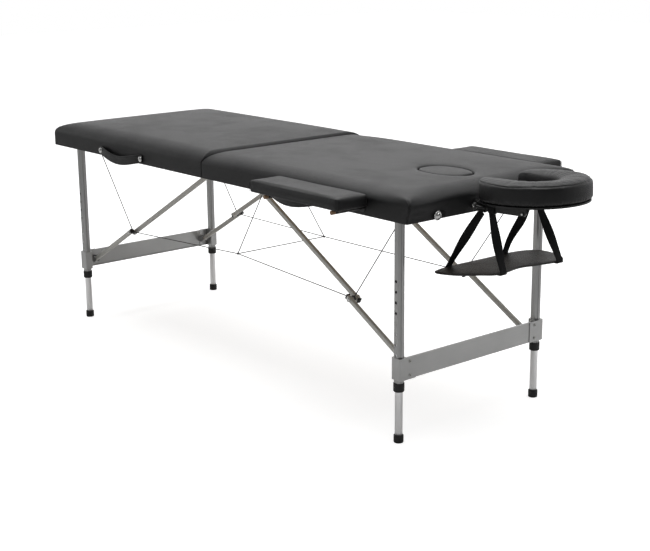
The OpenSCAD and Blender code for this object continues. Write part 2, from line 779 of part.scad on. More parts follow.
// Armrests: a deck on two rods, with a foam pad
module armrest_frame() {
    mid = armrest_inner_y + armrest_width / 2;
    translate([armrest_x, mid, armrest_board_low]) linear_extrude(armrest_board)
        rounded_rect(armrest_length - 8, armrest_width - 8, 8);
    for (x = armrest_rods) {
        rod_y(rod_radius, x, half_width - socket_depth + 2, mid + armrest_width / 2 - 8, rod_z);
        for (y = [mid - 30, mid + 30])
            translate([x - 9, y - 5, rod_z]) cube([18, 10, armrest_board_low - rod_z + 0.5]);
    }
}
module armrest_pad() {
    ax = armrest_length / 2;
    ay = armrest_width / 2;
    low = armrest_board_top + 0.3;
    high = armrest_top_z - 3;
    rim_inset = edge_inset(1, 10);
    loops = concat(
        [for (t = [0, 0.2, 0.5, 0.75, 1])
            let (inset = edge_inset(t, 10), bx = ax - inset, by = ay - inset)
            [for (p = drawn_in(outline(bx, by, 8 + inset, 4, 4), bx, by, 1.5))
                [p[0], p[1], edge_height(t, low, high, 10)]]],
        [for (s = [0.4, 0.75])
            let (bx = ax - rim_inset, by = ay - rim_inset)
            [for (p = outline(bx, by, 8 + rim_inset, 4, 4))
                let (q = [p[0] * (1 - s * 0.5), p[1] * (1 - s)])
                [q[0], q[1], high + 3 * dome(q, ax, ay)]]]
    );
    translate([armrest_x, armrest_inner_y + ay, 0]) capped_skin(loops);
}
module near_armrest_frame() color(vinyl_dark) mirror([0, 1, 0]) armrest_frame();
module near_armrest_pad() color(vinyl) mirror([0, 1, 0]) armrest_pad();
module far_armrest_frame() color(vinyl_dark) armrest_frame();
module far_armrest_pad() color(vinyl) armrest_pad();

// Face cradle base: two rods in the head end, a lug on each and the tilt pin
module cradle_base() color(steel) {
    both_sides() {
        rod_x(rod_radius, half_length - socket_depth + 4, tilt_x - 4, cradle_rod_y, rod_z);
        translate([tilt_x - 8, cradle_rod_y - 6, tilt_z - 9]) cube([13, 10, 18]);
        rod_y(pivot_radius, tilt_x, cradle_rod_y + 3, arm_inner_y + arm_sheet + 13, tilt_z);
    }
    rod_y(5, tilt_x, -cradle_rod_y + 5, cradle_rod_y - 5, tilt_z);
    rod_y(7, tilt_x, arm_inner_y + arm_sheet + 3.5, arm_inner_y + arm_sheet + 11, tilt_z);
}

// The cradle stands tipped up a little about its tilt axis
module tipped() {
    translate([tilt_x, 0, tilt_z]) rotate([0, -cradle_tip, 0])
        translate([-tilt_x, 0, -tilt_z]) children();
}

// Tilting arms: two side plates under a horseshoe deck, with a bolt at each end
module cradle_arm() {
    y0 = arm_inner_y;
    difference() {
        union() {
            rod_y(11, tilt_x, y0, y0 + arm_sheet, tilt_z);
            translate([tilt_x, y0, tilt_z]) rotate([90, 0, 0]) mirror([0, 0, 1])
                linear_extrude(arm_sheet) polygon([
                    [0, -9], [12, -arm_fall], [arm_end_x - tilt_x - 8, -arm_fall],
                    [arm_end_x - tilt_x, -4], [arm_end_x - tilt_x - 4, deck_low - tilt_z + 0.5],
                    [80, deck_low - tilt_z + 0.5], [73, arm_rise], [0, arm_rise]
                ]);
        }
        rod_y(pivot_bore, tilt_x, y0 - 1, y0 + arm_sheet + 1, tilt_z);
    }
    rod_y(5, arm_end_x - 14, y0 - 2, y0 + arm_sheet + 2.5, tilt_z - 6);
}
// Outer and inner rim of the horseshoe, from one end (t = 0) round to the other (t = 1)
pad_spread = 145;
function outer_rim(t) =
    let (w = pad_spread * (2 * t - 1))
    [cradle_radius * cos(w), cradle_radius * sin(w)];
inner_arc = 0.5;
inner_straight = cradle_x - pad_end_x - 4;
function inner_rim(t) =
    t < (1 - inner_arc) / 2
        ? [-inner_straight * (1 - t / ((1 - inner_arc) / 2)), -face_gap_half]
        : t > (1 + inner_arc) / 2
            ? [-inner_straight * (1 - (1 - t) / ((1 - inner_arc) / 2)), face_gap_half]
            : let (w = 180 * (t - (1 - inner_arc) / 2) / inner_arc - 90)
                face_gap_half * [cos(w), sin(w)];

module cradle_arms() color(vinyl_dark) tipped() {
    both_sides() cradle_arm();
    steps = 40;
    margin = 0.04;
    outer = [for (i = [0:steps]) let (t = i / steps)
        (1 - margin) * outer_rim(t) + margin * inner_rim(t)];
    inner = [for (i = [steps:-1:0]) let (t = i / steps)
        margin * outer_rim(t) + (1 - margin) * inner_rim(t)];
    translate([cradle_x, 0, deck_low]) linear_extrude(deck_thickness) polygon(concat(outer, inner));
}

// Cradle pad: a section swept round the horseshoe, crowned and round at its ends
module cradle_pad() {
    steps = 34;
    // Across the section from inside to outside, and up
    section = [
        [0.04, 0], [0.96, 0], [1, 0.12], [1.005, 0.45], [1, 0.72], [0.965, 0.88], [0.88, 0.96],
        [0.66, 1], [0.38, 1], [0.14, 0.95], [0.03, 0.86], [0, 0.7], [-0.005, 0.4], [0, 0.12]
    ];
    loops = [for (i = [0:steps])
        let (u = i / steps, end = min(1, min(u, 1 - u) * steps / 2), swell = 0.62 + 0.38 * sqrt(end))
        let (a = inner_rim(u), b = outer_rim(u), m = (a + b) / 2)
        [for (c = section)
            let (q = m + (c[0] - 0.5) * swell * (b - a))
            [q[0], q[1], pad_low + cradle_thickness * (0.5 + (c[1] - 0.5) * (c[1] > 0.5 ? swell : 1))]]];
    color(vinyl_dark) tipped() translate([cradle_x, 0, 0])
        capped_skin([for (l = loops) [for (k = [len(l) - 1:-1:0]) l[k]]]);
}

// Cam lever that clamps the tilt, on the near end of the tilt pin
module cradle_lever() color(rubber) {
    y1 = -arm_inner_y - arm_sheet - 3.5;
    difference() {
        union() {
            rod_y(8, tilt_x, y1 - 11, y1, tilt_z);
            translate([tilt_x - 5, y1 - 10, tilt_z - 4]) cube([44, 7, 8]);
            rod_y(4, tilt_x + 39, y1 - 10, y1 - 3, tilt_z);
        }
        rod_y(pivot_bore, tilt_x, y1 - 12, y1 + 1, tilt_z);
    }
}

// Arm shelf: a kidney-shaped padded board on four webbing straps. It hangs a little askew.
shelf_rim = [
    [-52, -200], [0, -180], [45, -130], [76, -84], [64, 10], [76, 72], [89, 150],
    [66, 190], [8, 210], [-42, 197], [-68, 130], [-71, 30], [-73, -90], [-68, -170]
];
// A closed smooth curve through points, with a few steps between each two
function smooth(points, steps) = let (n = len(points)) [
    for (i = [0:n - 1], j = [0:steps - 1])
        let (t = j / steps, a = points[(i + n - 1) % n], b = points[i])
        let (c = points[(i + 1) % n], d = points[(i + 2) % n])
        0.5 * (2 * b + (c - a) * t + (2 * a - 5 * b + 4 * c - d) * t * t
            + (3 * b - a - 3 * c + d) * t * t * t)
];
module shelf_board() color(vinyl_dark)
    translate([shelf_x, 0, shelf_z - shelf_thickness]) linear_extrude(shelf_thickness)
        polygon([for (p = smooth(shelf_rim, 3)) [p[0], p[1] * shelf_length / 420]]);

// A strip of webbing between two points, which twists from its top to its foot
module webbing(a, b, turn) {
    steps = 8;
    for (i = [0:steps - 1]) hull() for (j = [i, i + 1])
        translate(a + (b - a) * j / steps) rotate([0, 0, turn * j / steps])
            cube([strap_width, strap_sheet, 0.2], center = true);
}
// Where the four straps meet the edge of the shelf: near back and front, far back and front
strap_feet = [[875.3, 129], [1028.3, 69], [876.8, 101], [1041.5, 150]];
module shelf_straps() color(rubber) {
    outer_y = arm_inner_y + arm_sheet + 1.6;
    inner_y = arm_inner_y - 1.6;
    loop_low = tilt_z - arm_fall - 2.4;
    loop_top = tilt_z + arm_rise + 0.4;
    for (side = [-1, 1], k = [0, 1]) {
        foot = strap_feet[side < 0 ? k : k + 2];
        x = strap_x[k];
        tipped() {
            for (y = [outer_y, inner_y])
                translate([x - strap_width / 2, side * y - strap_sheet / 2, loop_low])
                    cube([strap_width, strap_sheet, loop_top - loop_low + strap_sheet]);
            for (z = [loop_low, loop_top])
                translate([x - strap_width / 2, side > 0 ? inner_y : -outer_y, z])
                    cube([strap_width, outer_y - inner_y, strap_sheet]);
        }
        top_z = loop_low + 0.4 + (x - tilt_x) * sin(cradle_tip);
        webbing([x, side * (outer_y - 3), top_z], [foot[0], side * foot[1], shelf_z - shelf_thickness / 2], 90);
    }
}

foot_frame();
foot_board();
foot_cushion();
foot_side_vinyl();
foot_handle();
foot_fasteners();
foot_leg_hinges();
foot_brace_hinges();
foot_cables();
foot_hinge_leaves();
latch_keepers();
centre_hinge_pins();
head_frame();
head_board();
head_cushion();
head_side_vinyl();
head_handle();
head_fasteners();
head_leg_hinges();
head_brace_hinges();
head_cables();
head_hinge_leaves();
rod_sockets();
breath_plug();
near_latch();
far_latch();
foot_upper_legs();
foot_crossbar();
foot_crossbar_brackets();
foot_leg_collars();
head_upper_legs();
head_crossbar();
head_crossbar_brackets();
head_leg_collars();
foot_near_tube();
foot_near_pad();
foot_near_button();
foot_far_tube();
foot_far_pad();
foot_far_button();
head_near_tube();
head_near_pad();
head_near_button();
head_far_tube();
head_far_pad();
head_far_button();
foot_upper_braces();
foot_lower_braces();
head_upper_braces();
head_lower_braces();
near_armrest_frame();
near_armrest_pad();
far_armrest_frame();
far_armrest_pad();
cradle_base();
cradle_arms();
cradle_lever();
cradle_pad();
shelf_board();
shelf_straps();
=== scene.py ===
# %% [markdown]
# # A folding massage table, dressed for its portrait
# The hard parts of the table come ready-made from the frame: tubes, hinges, brackets and boards
# at their true size. This lesson adds what a frame can't give: the vinyl covers, the padding,
# the webbing and the finishes. Everything is in metres. X runs towards the head end, Y to the
# far long side and Z up, and the table stands on the floor at Z = 0.

# %% Load the frame
import math

import bmesh
import bpy
from mathutils import Matrix, Vector, noise


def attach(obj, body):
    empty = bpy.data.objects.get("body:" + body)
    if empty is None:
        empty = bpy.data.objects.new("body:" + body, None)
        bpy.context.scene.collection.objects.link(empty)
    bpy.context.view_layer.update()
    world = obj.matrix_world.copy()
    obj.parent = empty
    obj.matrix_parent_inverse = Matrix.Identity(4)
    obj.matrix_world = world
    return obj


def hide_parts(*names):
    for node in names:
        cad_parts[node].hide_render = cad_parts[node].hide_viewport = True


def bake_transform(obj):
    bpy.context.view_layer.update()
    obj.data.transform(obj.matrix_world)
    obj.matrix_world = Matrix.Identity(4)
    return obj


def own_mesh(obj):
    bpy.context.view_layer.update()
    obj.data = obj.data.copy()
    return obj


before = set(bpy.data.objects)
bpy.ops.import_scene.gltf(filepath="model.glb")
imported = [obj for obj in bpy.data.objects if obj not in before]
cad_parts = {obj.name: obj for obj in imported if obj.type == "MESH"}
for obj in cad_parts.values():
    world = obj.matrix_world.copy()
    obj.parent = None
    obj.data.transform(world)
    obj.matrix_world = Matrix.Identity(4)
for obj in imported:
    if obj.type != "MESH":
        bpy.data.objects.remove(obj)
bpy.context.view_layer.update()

# %% [markdown]
# ## The camera
# The table is seen from its head end, a little to the near side and from just above the top. A
# long lens keeps the far legs nearly as tall as the near ones, as in a catalogue picture. A camera
# could be aimed at a target by a constraint. Here its direction is written as a heading and a
# tilt, and the picture's own axes follow from those two, because the slight roll is then only a
# small turn of those axes.

# %% Camera
CAMERA_AT = Vector((3.36535, -2.66920, 1.38926))
HEADING, TILT, ROLL = 2.44223, 0.25517, -0.00907
FOCAL_PIXELS, PICTURE_WIDTH = 1318.355, 650

camera_data = bpy.data.cameras.new("camera")
camera = bpy.data.objects.new("camera", camera_data)
bpy.context.scene.collection.objects.link(camera)
bpy.context.scene.camera = camera
camera_data.sensor_width = 36
camera_data.lens = FOCAL_PIXELS / PICTURE_WIDTH * camera_data.sensor_width
forward = Vector((math.cos(HEADING) * math.cos(TILT), math.sin(HEADING) * math.cos(TILT), -math.sin(TILT)))
level = Vector((math.sin(HEADING), -math.cos(HEADING), 0))
above = level.cross(forward)
across = math.cos(ROLL) * level + math.sin(ROLL) * above
upward = -math.sin(ROLL) * level + math.cos(ROLL) * above
camera.matrix_world = Matrix.Translation(CAMERA_AT) @ Matrix((across, upward, -forward)).transposed().to_4x4()
print("lens", round(camera_data.lens, 2), "mm")

# %% [markdown]
# ## Sizes that the covers share with the solids
# A cover has to fit what it covers, so the few levels that matter are named once, here. They could
# be measured on the solids' meshes, but named numbers are easier to read and to change. The foot
# half's foam stands 4 mm higher at its edge than the head half's, and 7 mm higher at its middle.

# %% Levels and places
HALF_LENGTH, HALF_WIDTH, SEAM = 0.930, 0.340, 0.0005
ROUND_START = 0.690
EDGE_TOP = {"foot": 0.727, "head": 0.723}
CROWN = {"foot": 0.008, "head": 0.005}
HOLE_X, HOLE_A, HOLE_B = 0.733, 0.094, 0.064
ENDS = {"foot": -1, "head": 1}
SIDES = {"near": -1, "far": 1}
print("tops of the cushions at", [round(EDGE_TOP[end] + CROWN[end], 3) for end in ENDS])

# %% [markdown]
# ## Tools for making meshes
# Most padded things are a stack of closed loops of points with faces between them, like the
# hoops of a barrel. They could be modelled by hand from a box, or be curves with a bevel, but a
# loop gives each point a known place, so folds and bulges go exactly where the real ones are. The
# next cells hold these tools, so that the later ones can speak about shape alone.

# %% New objects
def linked(name, mesh):
    mesh.shade_smooth()
    obj = bpy.data.objects.new(name, mesh)
    bpy.context.scene.collection.objects.link(obj)
    return obj


def new_object(name, points, faces):
    mesh = bpy.data.meshes.new(name)
    mesh.from_pydata([tuple(p) for p in points], [], faces)
    mesh.update()
    return linked(name, mesh)


def join(name, pieces):
    """One object from several."""
    points, faces = [], []
    for obj in pieces:
        start = len(points)
        points += [obj.matrix_world @ v.co for v in obj.data.vertices]
        faces += [[start + i for i in p.vertices] for p in obj.data.polygons]
        bpy.data.objects.remove(obj)
    return new_object(name, points, faces)


print("objects can be made and joined")

# %% A skin over loops
def face_outward(obj):
    work = bmesh.new()
    work.from_mesh(obj.data)
    bmesh.ops.recalc_face_normals(work, faces=work.faces)
    work.to_mesh(obj.data)
    work.free()
    obj.data.shade_smooth()
    return obj


def skin(name, loops, low_cap=True, high_cap=True, ring=False):
    """Faces between loops of equal length; a cap is a fan round the middle of its loop."""
    n, count = len(loops[0]), len(loops)
    points = [p for loop in loops for p in loop]
    faces = [
        (i * n + k, i * n + (k + 1) % n, j * n + (k + 1) % n, j * n + k)
        for i in range(count if ring else count - 1) for j in [(i + 1) % count] for k in range(n)
    ]
    for wanted, i in ((low_cap and not ring, 0), (high_cap and not ring, count - 1)):
        if wanted:
            points.append(sum((Vector(p) for p in loops[i]), Vector()) / n)
            faces += [(i * n + k, i * n + (k + 1) % n, len(points) - 1) for k in range(n)]
    return face_outward(new_object(name, points, faces))


print("loops can be skinned")

# %% Modifiers worked into the mesh
def settle(obj):
    """Works the modifiers into the mesh."""
    final = bpy.data.meshes.new_from_object(obj.evaluated_get(bpy.context.evaluated_depsgraph_get()))
    obj.modifiers.clear()
    obj.data = final
    obj.data.shade_smooth()
    return obj


def smoother(obj, levels=1):
    modifier = obj.modifiers.new("smoother", "SUBSURF")
    modifier.levels = modifier.render_levels = levels
    return settle(obj)


print("modifiers can be worked in")

# %% Loops along a path
def turns(count):
    """Angles in equal steps round a circle."""
    return [2 * math.pi * k / count for k in range(count)]


def circle(radius, sides=16):
    return [(radius * math.cos(w), radius * math.sin(w)) for w in turns(sides)]


def carried(path, section, side=None):
    """Copies of a flat section along a path; the section's first axis stays near to side."""
    loops = []
    path = [Vector(p) for p in path]
    for i, p in enumerate(path):
        along = (path[min(i + 1, len(path) - 1)] - path[max(i - 1, 0)]).normalized()
        hint = Vector(side[i] if isinstance(side, list) else side or (0, 0, 1))
        if abs(along.dot(hint)) > 0.98:
            hint = Vector((1, 0, 0))
        u = (hint - along * hint.dot(along)).normalized()
        v = along.cross(u)
        flat = section(i / (len(path) - 1)) if callable(section) else section
        loops.append([p + u * a + v * b for a, b in flat])
    return loops


print("a circle of", len(circle(1)), "points can be carried along a path")

# %% Turned pieces and rounded boxes
TINY_RADIUS = 1e-5                     # stands for a radius of nothing, so that no faces collapse


def turned(name, profile, at, axis, sides=32):
    """A turned piece: (radius, height) pairs round an axis from a point."""
    axis = Vector(axis).normalized()
    path = [Vector(at) + axis * h for _, h in profile]
    u = axis.orthogonal().normalized()
    v = axis.cross(u)
    loops = [
        [p + (u * math.cos(w) + v * math.sin(w)) * max(r, TINY_RADIUS) for w in turns(sides)]
        for p, (r, _) in zip(path, profile)
    ]
    return skin(name, loops)


def soft_box(name, low, high, radius=0.001, segments=3):
    """A box with rounded edges."""
    work = bmesh.new()
    bmesh.ops.create_cube(work, size=1)
    for v in work.verts:
        v.co = Vector([(a + b) / 2 + c * (b - a) for a, b, c in zip(low, high, v.co)])
    bmesh.ops.bevel(work, geom=work.edges[:], offset=radius, segments=segments, profile=0.5, affect="EDGES")
    mesh = bpy.data.meshes.new(name)
    work.to_mesh(mesh)
    work.free()
    return linked(name, mesh)


print("smallest radius of a turned piece:", TINY_RADIUS)

# %% Smooth steps and humps
def ease(x):
    """0 up to 0 and 1 from 1, with a smooth rise between."""
    x = min(max(x, 0.0), 1.0)
    return x * x * (3 - 2 * x)


def hump(distance, width):
    """1 at no distance, and nearly 0 two widths away."""
    return math.exp(-(distance / width) ** 2)


print("a hump two widths away is", round(hump(2, 1), 3))

# %% [markdown]
# ## Effects that several finishes share
# Vinyl grain, the drawn lines of an extrusion and the dust and handling marks of a used surface
# turn up on many parts. They could be painted as pictures, but a procedural texture has no edge
# and stays sharp close up. Each is a node group, built once and placed in a material with its own
# values. A group gives only heights, masks and tones: the shader itself stays in the material, so
# an exporter can read it. Object coordinates stay with a piece when it moves.

# %% Node group helpers
def group(name, inputs, outputs):
    tree = bpy.data.node_groups.new(name, "ShaderNodeTree")
    for kind, value in inputs.items():
        socket = tree.interface.new_socket(name=kind, in_out="INPUT", socket_type="NodeSocketFloat")
        socket.default_value = value
    for kind in outputs:
        tree.interface.new_socket(name=kind, in_out="OUTPUT", socket_type="NodeSocketFloat")
    return tree, tree.nodes.new("NodeGroupInput"), tree.nodes.new("NodeGroupOutput")


def put(tree, kind, **settings):
    """Adds a node; settings are its properties, or its inputs by number as in_0=..."""
    node = tree.nodes.new(kind)
    for key, value in settings.items():
        target, field = (node.inputs[int(key[3:])], "default_value") if key.startswith("in_") else (node, key)
        if hasattr(value, "is_output"):
            tree.links.new(value, target)
        else:
            setattr(target, field, value)
    return node


def calc(tree, operation, a, b=0.0, c=0.0, clamp=False):
    node = put(tree, "ShaderNodeMath", operation=operation, use_clamp=clamp, in_0=a, in_1=b, in_2=c)
    return node.outputs[0]


print("nodes can be put in a tree and joined")

# %% Places and noise
def here(tree, stretch=(1, 1, 1)):
    """Object coordinates, stretched to draw an effect out along an axis."""
    place = put(tree, "ShaderNodeTexCoord").outputs["Object"]
    mapping = tree.nodes.new("ShaderNodeMapping")
    tree.links.new(place, mapping.inputs["Vector"])
    mapping.inputs["Scale"].default_value = stretch
    return mapping.outputs["Vector"]


def spots(tree, vector, scale, detail=2.0, rough=0.5):
    node = put(tree, "ShaderNodeTexNoise")
    tree.links.new(vector, node.inputs["Vector"])
    for key, value in (("Scale", scale), ("Detail", detail), ("Roughness", rough)):
        if hasattr(value, "is_output"):
            tree.links.new(value, node.inputs[key])
        else:
            node.inputs[key].default_value = value
    return node.outputs["Fac"]


print("noise can be laid on a piece")

# %% Grain of coated vinyl
def make_vinyl_grain():
    tree, given, out = group("vinyl grain", {"Pebble Scale": 900.0, "Crease Depth": 0.3}, ["Height", "Tone"])
    place = here(tree)
    pebbles = put(tree, "ShaderNodeTexVoronoi", feature="DISTANCE_TO_EDGE")
    tree.links.new(place, pebbles.inputs["Vector"])
    tree.links.new(given.outputs["Pebble Scale"], pebbles.inputs["Scale"])
    pebble = calc(tree, "MULTIPLY", pebbles.outputs["Distance"], 2.2, clamp=True)
    pores = spots(tree, place, calc(tree, "MULTIPLY", given.outputs["Pebble Scale"], 2.4), 2.0)
    folds = spots(tree, place, 26.0, 3.0, 0.6)
    fine = calc(tree, "MULTIPLY_ADD", pores, 0.35, pebble)
    height = calc(tree, "MULTIPLY_ADD", folds, given.outputs["Crease Depth"], fine)
    tree.links.new(height, out.inputs["Height"])
    # Tone: slow random spots, plus painted shade that darkens the creases between the pebbles.
    tone = calc(tree, "MULTIPLY_ADD", spots(tree, place, 5.0, 3.0), 0.5, calc(tree, "MULTIPLY", pebble, 0.3))
    tree.links.new(tone, out.inputs["Tone"])
    return tree


VINYL_GRAIN = make_vinyl_grain()
print("group", VINYL_GRAIN.name)

# %% Lines of a drawn or brushed metal
def make_drawn_lines(name, stretch):
    tree, given, out = group(name, {"Line Scale": 60.0, "Cloudiness": 0.5}, ["Height", "Tone"])
    lines = spots(tree, here(tree, stretch), given.outputs["Line Scale"], 4.0, 0.65)
    clouds = spots(tree, here(tree), 14.0, 2.0)
    tree.links.new(lines, out.inputs["Height"])
    half_lines = calc(tree, "MULTIPLY", lines, 0.5)
    tone = calc(tree, "MULTIPLY_ADD", clouds, given.outputs["Cloudiness"], half_lines)
    tree.links.new(tone, out.inputs["Tone"])
    return tree


DRAWN_ALONG = {
    "upright": make_drawn_lines("drawn lines, upright", (9, 9, 0.25)),
    "across": make_drawn_lines("drawn lines, across", (9, 0.25, 9)),
    "brace": make_drawn_lines("drawn lines, brace", (1.2, 9, 2.5)),
    "round": make_drawn_lines("drawn lines, round", (3, 3, 3)),
}
print(len(DRAWN_ALONG), "directions of drawn lines")

# %% Dust and rubbing
def make_handling():
    scales = {"Smudge Scale": 9.0, "Speckle Scale": 260.0}
    tree, given, out = group("handling marks", scales, ["Smudge", "Speckle"])
    place = here(tree)
    smudge = calc(tree, "SUBTRACT", spots(tree, place, given.outputs["Smudge Scale"], 4.0, 0.6), 0.45)
    tree.links.new(calc(tree, "MULTIPLY", smudge, 3.0, clamp=True), out.inputs["Smudge"])
    speck = calc(tree, "SUBTRACT", spots(tree, place, given.outputs["Speckle Scale"], 1.0), 0.66)
    tree.links.new(calc(tree, "MULTIPLY", speck, 8.0, clamp=True), out.inputs["Speckle"])
    return tree


HANDLING = make_handling()
print("group", HANDLING.name)

# %% [markdown]
# ## Finishes
# The table shows few finishes: matt black vinyl in three shades, brushed and polished aluminium,
# plated steel, black plastic and rubber, webbing and wood. Each could have a node tree of its own,
# but nearly all follow one plan, so `finish` wires that plan once. It is a Principled shader with
# two of the groups behind it: a tone that shifts the colour a little, a roughness that wanders,
# and a bump.

# %% Finish helper
def use_group(tree, shared, **values):
    node = tree.nodes.new("ShaderNodeGroup")
    node.node_tree = shared
    for key, value in values.items():
        node.inputs[key.replace("_", " ")].default_value = value
    return node


TONE_SPREAD, ROUGH_SPREAD = 0.12, 0.08


def finish(name, colour, roughness, metallic=0.0, relief=None, relief_values=None, depth=0.0001,
           speckle=0.0, **principled):
    """A material; principled sets further inputs of the shader by name, with _ for a space."""
    material = bpy.data.materials.new(name)
    material.use_nodes = True
    tree = material.node_tree
    shader = tree.nodes["Principled BSDF"]
    shader.inputs["Metallic"].default_value = metallic
    for key, value in principled.items():
        shader.inputs[key.replace("_", " ")].default_value = value
    marks = use_group(tree, HANDLING)
    tone = marks.outputs["Smudge"]
    if relief:
        grain = use_group(tree, relief, **(relief_values or {}))
        tone = grain.outputs["Tone"]
        bump = put(tree, "ShaderNodeBump")
        bump.inputs["Distance"].default_value = depth
        bump.inputs["Strength"].default_value = 1.0
        tree.links.new(grain.outputs["Height"], bump.inputs["Height"])
        tree.links.new(bump.outputs["Normal"], shader.inputs["Normal"])
    light = [min(1.0, c * (1 + TONE_SPREAD)) for c in colour]
    dark = [c * (1 - TONE_SPREAD) for c in colour]
    mix = put(tree, "ShaderNodeMix", data_type="RGBA")
    mix.inputs[6].default_value = (*dark, 1)
    mix.inputs[7].default_value = (*light, 1)
    tree.links.new(tone, mix.inputs[0])
    last = mix.outputs[2]
    if speckle:
        dust = put(tree, "ShaderNodeMix", data_type="RGBA")
        tree.links.new(calc(tree, "MULTIPLY", marks.outputs["Speckle"], speckle), dust.inputs[0])
        tree.links.new(last, dust.inputs[6])
        dust.inputs[7].default_value = (*[min(1.0, c * 2.2 + 0.02) for c in colour], 1)
        last = dust.outputs[2]
    tree.links.new(last, shader.inputs["Base Color"])
    rough = calc(tree, "MULTIPLY_ADD", marks.outputs["Smudge"], ROUGH_SPREAD, roughness - ROUGH_SPREAD / 2)
    tree.links.new(rough, shader.inputs["Roughness"])
    return material


print("finishes vary by", TONE_SPREAD, "in tone and", ROUGH_SPREAD, "in roughness")

# %% Vinyls
GRAIN = {"Pebble_Scale": 820.0, "Crease_Depth": 0.35}
COARSE_GRAIN = {"Pebble_Scale": 700.0, "Crease_Depth": 1.2}
FINISH = {
    "grey vinyl": finish("grey vinyl", (0.011, 0.011, 0.0115), 0.42, relief=VINYL_GRAIN,
                         relief_values=GRAIN, depth=0.00016, Specular_IOR_Level=0.3),
    "dark vinyl": finish("dark vinyl", (0.0055, 0.0055, 0.006), 0.43, relief=VINYL_GRAIN,
                         relief_values=GRAIN, depth=0.00018, Specular_IOR_Level=0.4),
    "brown-black vinyl": finish("brown-black vinyl", (0.0085, 0.0070, 0.0060), 0.47, relief=VINYL_GRAIN,
                                relief_values=COARSE_GRAIN, depth=0.0003),
}
print(len(FINISH), "vinyls")

# %% Metals
UPRIGHT, ACROSS, ALONG_BRACE, ROUND = [DRAWN_ALONG[way] for way in ("upright", "across", "brace", "round")]
# Each row is colour, roughness, metallic, direction of the lines, their values, depth of the relief.
METALS = {
    "leg aluminium": ((0.38, 0.38, 0.377), 0.34, 1.0, UPRIGHT, {}, 0.00003),
    "bar aluminium": ((0.44, 0.44, 0.436), 0.36, 1.0, ACROSS, {}, 0.00003),
    "brace aluminium": ((0.62, 0.61, 0.57), 0.47, 0.30, ALONG_BRACE, {}, 0.00003),
    "bright tube": ((0.95, 0.95, 0.95), 0.32, 0.85, UPRIGHT, {}, 0.00002),
    "bright plating": ((0.66, 0.66, 0.65), 0.22, 1.0, ROUND, {}, 0.00002),
    "zinc plating": ((0.42, 0.42, 0.4), 0.38, 1.0, ROUND, {"Line_Scale": 30.0, "Cloudiness": 1.0}, 0.00004),
    "cable steel": ((0.10, 0.10, 0.10), 0.45, 0.6, ROUND, {"Line_Scale": 400.0}, 0.00008),
    "blackened steel": ((0.03, 0.03, 0.031), 0.45, 1.0, ROUND, {}, 0.00003),
}
for name, (colour, roughness, metallic, lines, line_values, depth) in METALS.items():
    FINISH[name] = finish(name, colour, roughness, metallic, lines, line_values, depth)
print(len(METALS), "metals")

# %% Rubber, plastic and thread
# Each row is colour, roughness, values of the lines, depth of the relief, dust specks.
DULL = {
    "black rubber": ((0.012, 0.012, 0.012), 0.62, {"Line_Scale": 120.0}, 0.00005, 0.25),
    "black plastic": ((0.011, 0.011, 0.011), 0.36, {"Line_Scale": 220.0}, 0.00003, 0.0),
    "thread": ((0.016, 0.016, 0.017), 0.7, {"Line_Scale": 900.0}, 0.0001, 0.0),
}
for name, (colour, roughness, line_values, depth, speckle) in DULL.items():
    FINISH[name] = finish(name, colour, roughness, relief=ROUND, relief_values=line_values, depth=depth,
                          speckle=speckle)
print(len(FINISH), "finishes so far")

# %% [markdown]
# ## Webbing and wood
# Webbing is woven, so it needs ribs across the strap and a fine twill between them. A picture of
# cloth would do, but two crossed waves make the same relief and follow any width. Plywood and
# beech need long streaks along the rail, with darker pores: noise stretched along the grain gives
# them, and growth rings would be lost on wood that is hardly seen.

# %% Webbing
RIB_SCALE, TWILL_SCALE = 220.0, 310.0


def make_webbing():
    material = finish("black webbing", (0.0055, 0.0055, 0.006), 0.85, relief=ROUND,
                      relief_values={"Line_Scale": 500.0}, depth=0.0001)
    tree = material.node_tree
    shader = tree.nodes["Principled BSDF"]
    ribs = put(tree, "ShaderNodeTexWave", wave_type="BANDS", bands_direction="Z")
    tree.links.new(here(tree), ribs.inputs["Vector"])
    ribs.inputs["Scale"].default_value = RIB_SCALE
    ribs.inputs["Distortion"].default_value = 0.6
    twill = put(tree, "ShaderNodeTexWave", wave_type="BANDS", bands_direction="DIAGONAL")
    tree.links.new(here(tree), twill.inputs["Vector"])
    twill.inputs["Scale"].default_value = TWILL_SCALE
    weave = calc(tree, "MULTIPLY_ADD", twill.outputs["Fac"], 0.5, ribs.outputs["Fac"])
    bump = put(tree, "ShaderNodeBump")
    bump.inputs["Distance"].default_value = 0.0003
    tree.links.new(weave, bump.inputs["Height"])
    tree.links.new(bump.outputs["Normal"], shader.inputs["Normal"])
    shader.inputs["Specular IOR Level"].default_value = 0.3
    return material


FINISH["black webbing"] = make_webbing()
print("webbing woven with ribs at scale", RIB_SCALE)

# %% Wood
def make_wood(name, pale, dark, stretch):
    material = bpy.data.materials.new(name)
    material.use_nodes = True
    tree = material.node_tree
    shader = tree.nodes["Principled BSDF"]
    streaks = spots(tree, here(tree, stretch), 11.0, 6.0, 0.62)
    pores = spots(tree, here(tree, [4 * s for s in stretch]), 60.0, 2.0)
    colour = put(tree, "ShaderNodeMix", data_type="RGBA")
    colour.inputs[6].default_value = (*dark, 1)
    colour.inputs[7].default_value = (*pale, 1)
    strong_streaks = calc(tree, "MULTIPLY", streaks, 0.9)
    tree.links.new(calc(tree, "MULTIPLY_ADD", pores, 0.3, strong_streaks, clamp=True), colour.inputs[0])
    tree.links.new(colour.outputs[2], shader.inputs["Base Color"])
    tree.links.new(calc(tree, "MULTIPLY_ADD", streaks, 0.2, 0.45), shader.inputs["Roughness"])
    bump = put(tree, "ShaderNodeBump")
    bump.inputs["Distance"].default_value = 0.00015
    tree.links.new(pores, bump.inputs["Height"])
    tree.links.new(bump.outputs["Normal"], shader.inputs["Normal"])
    return material


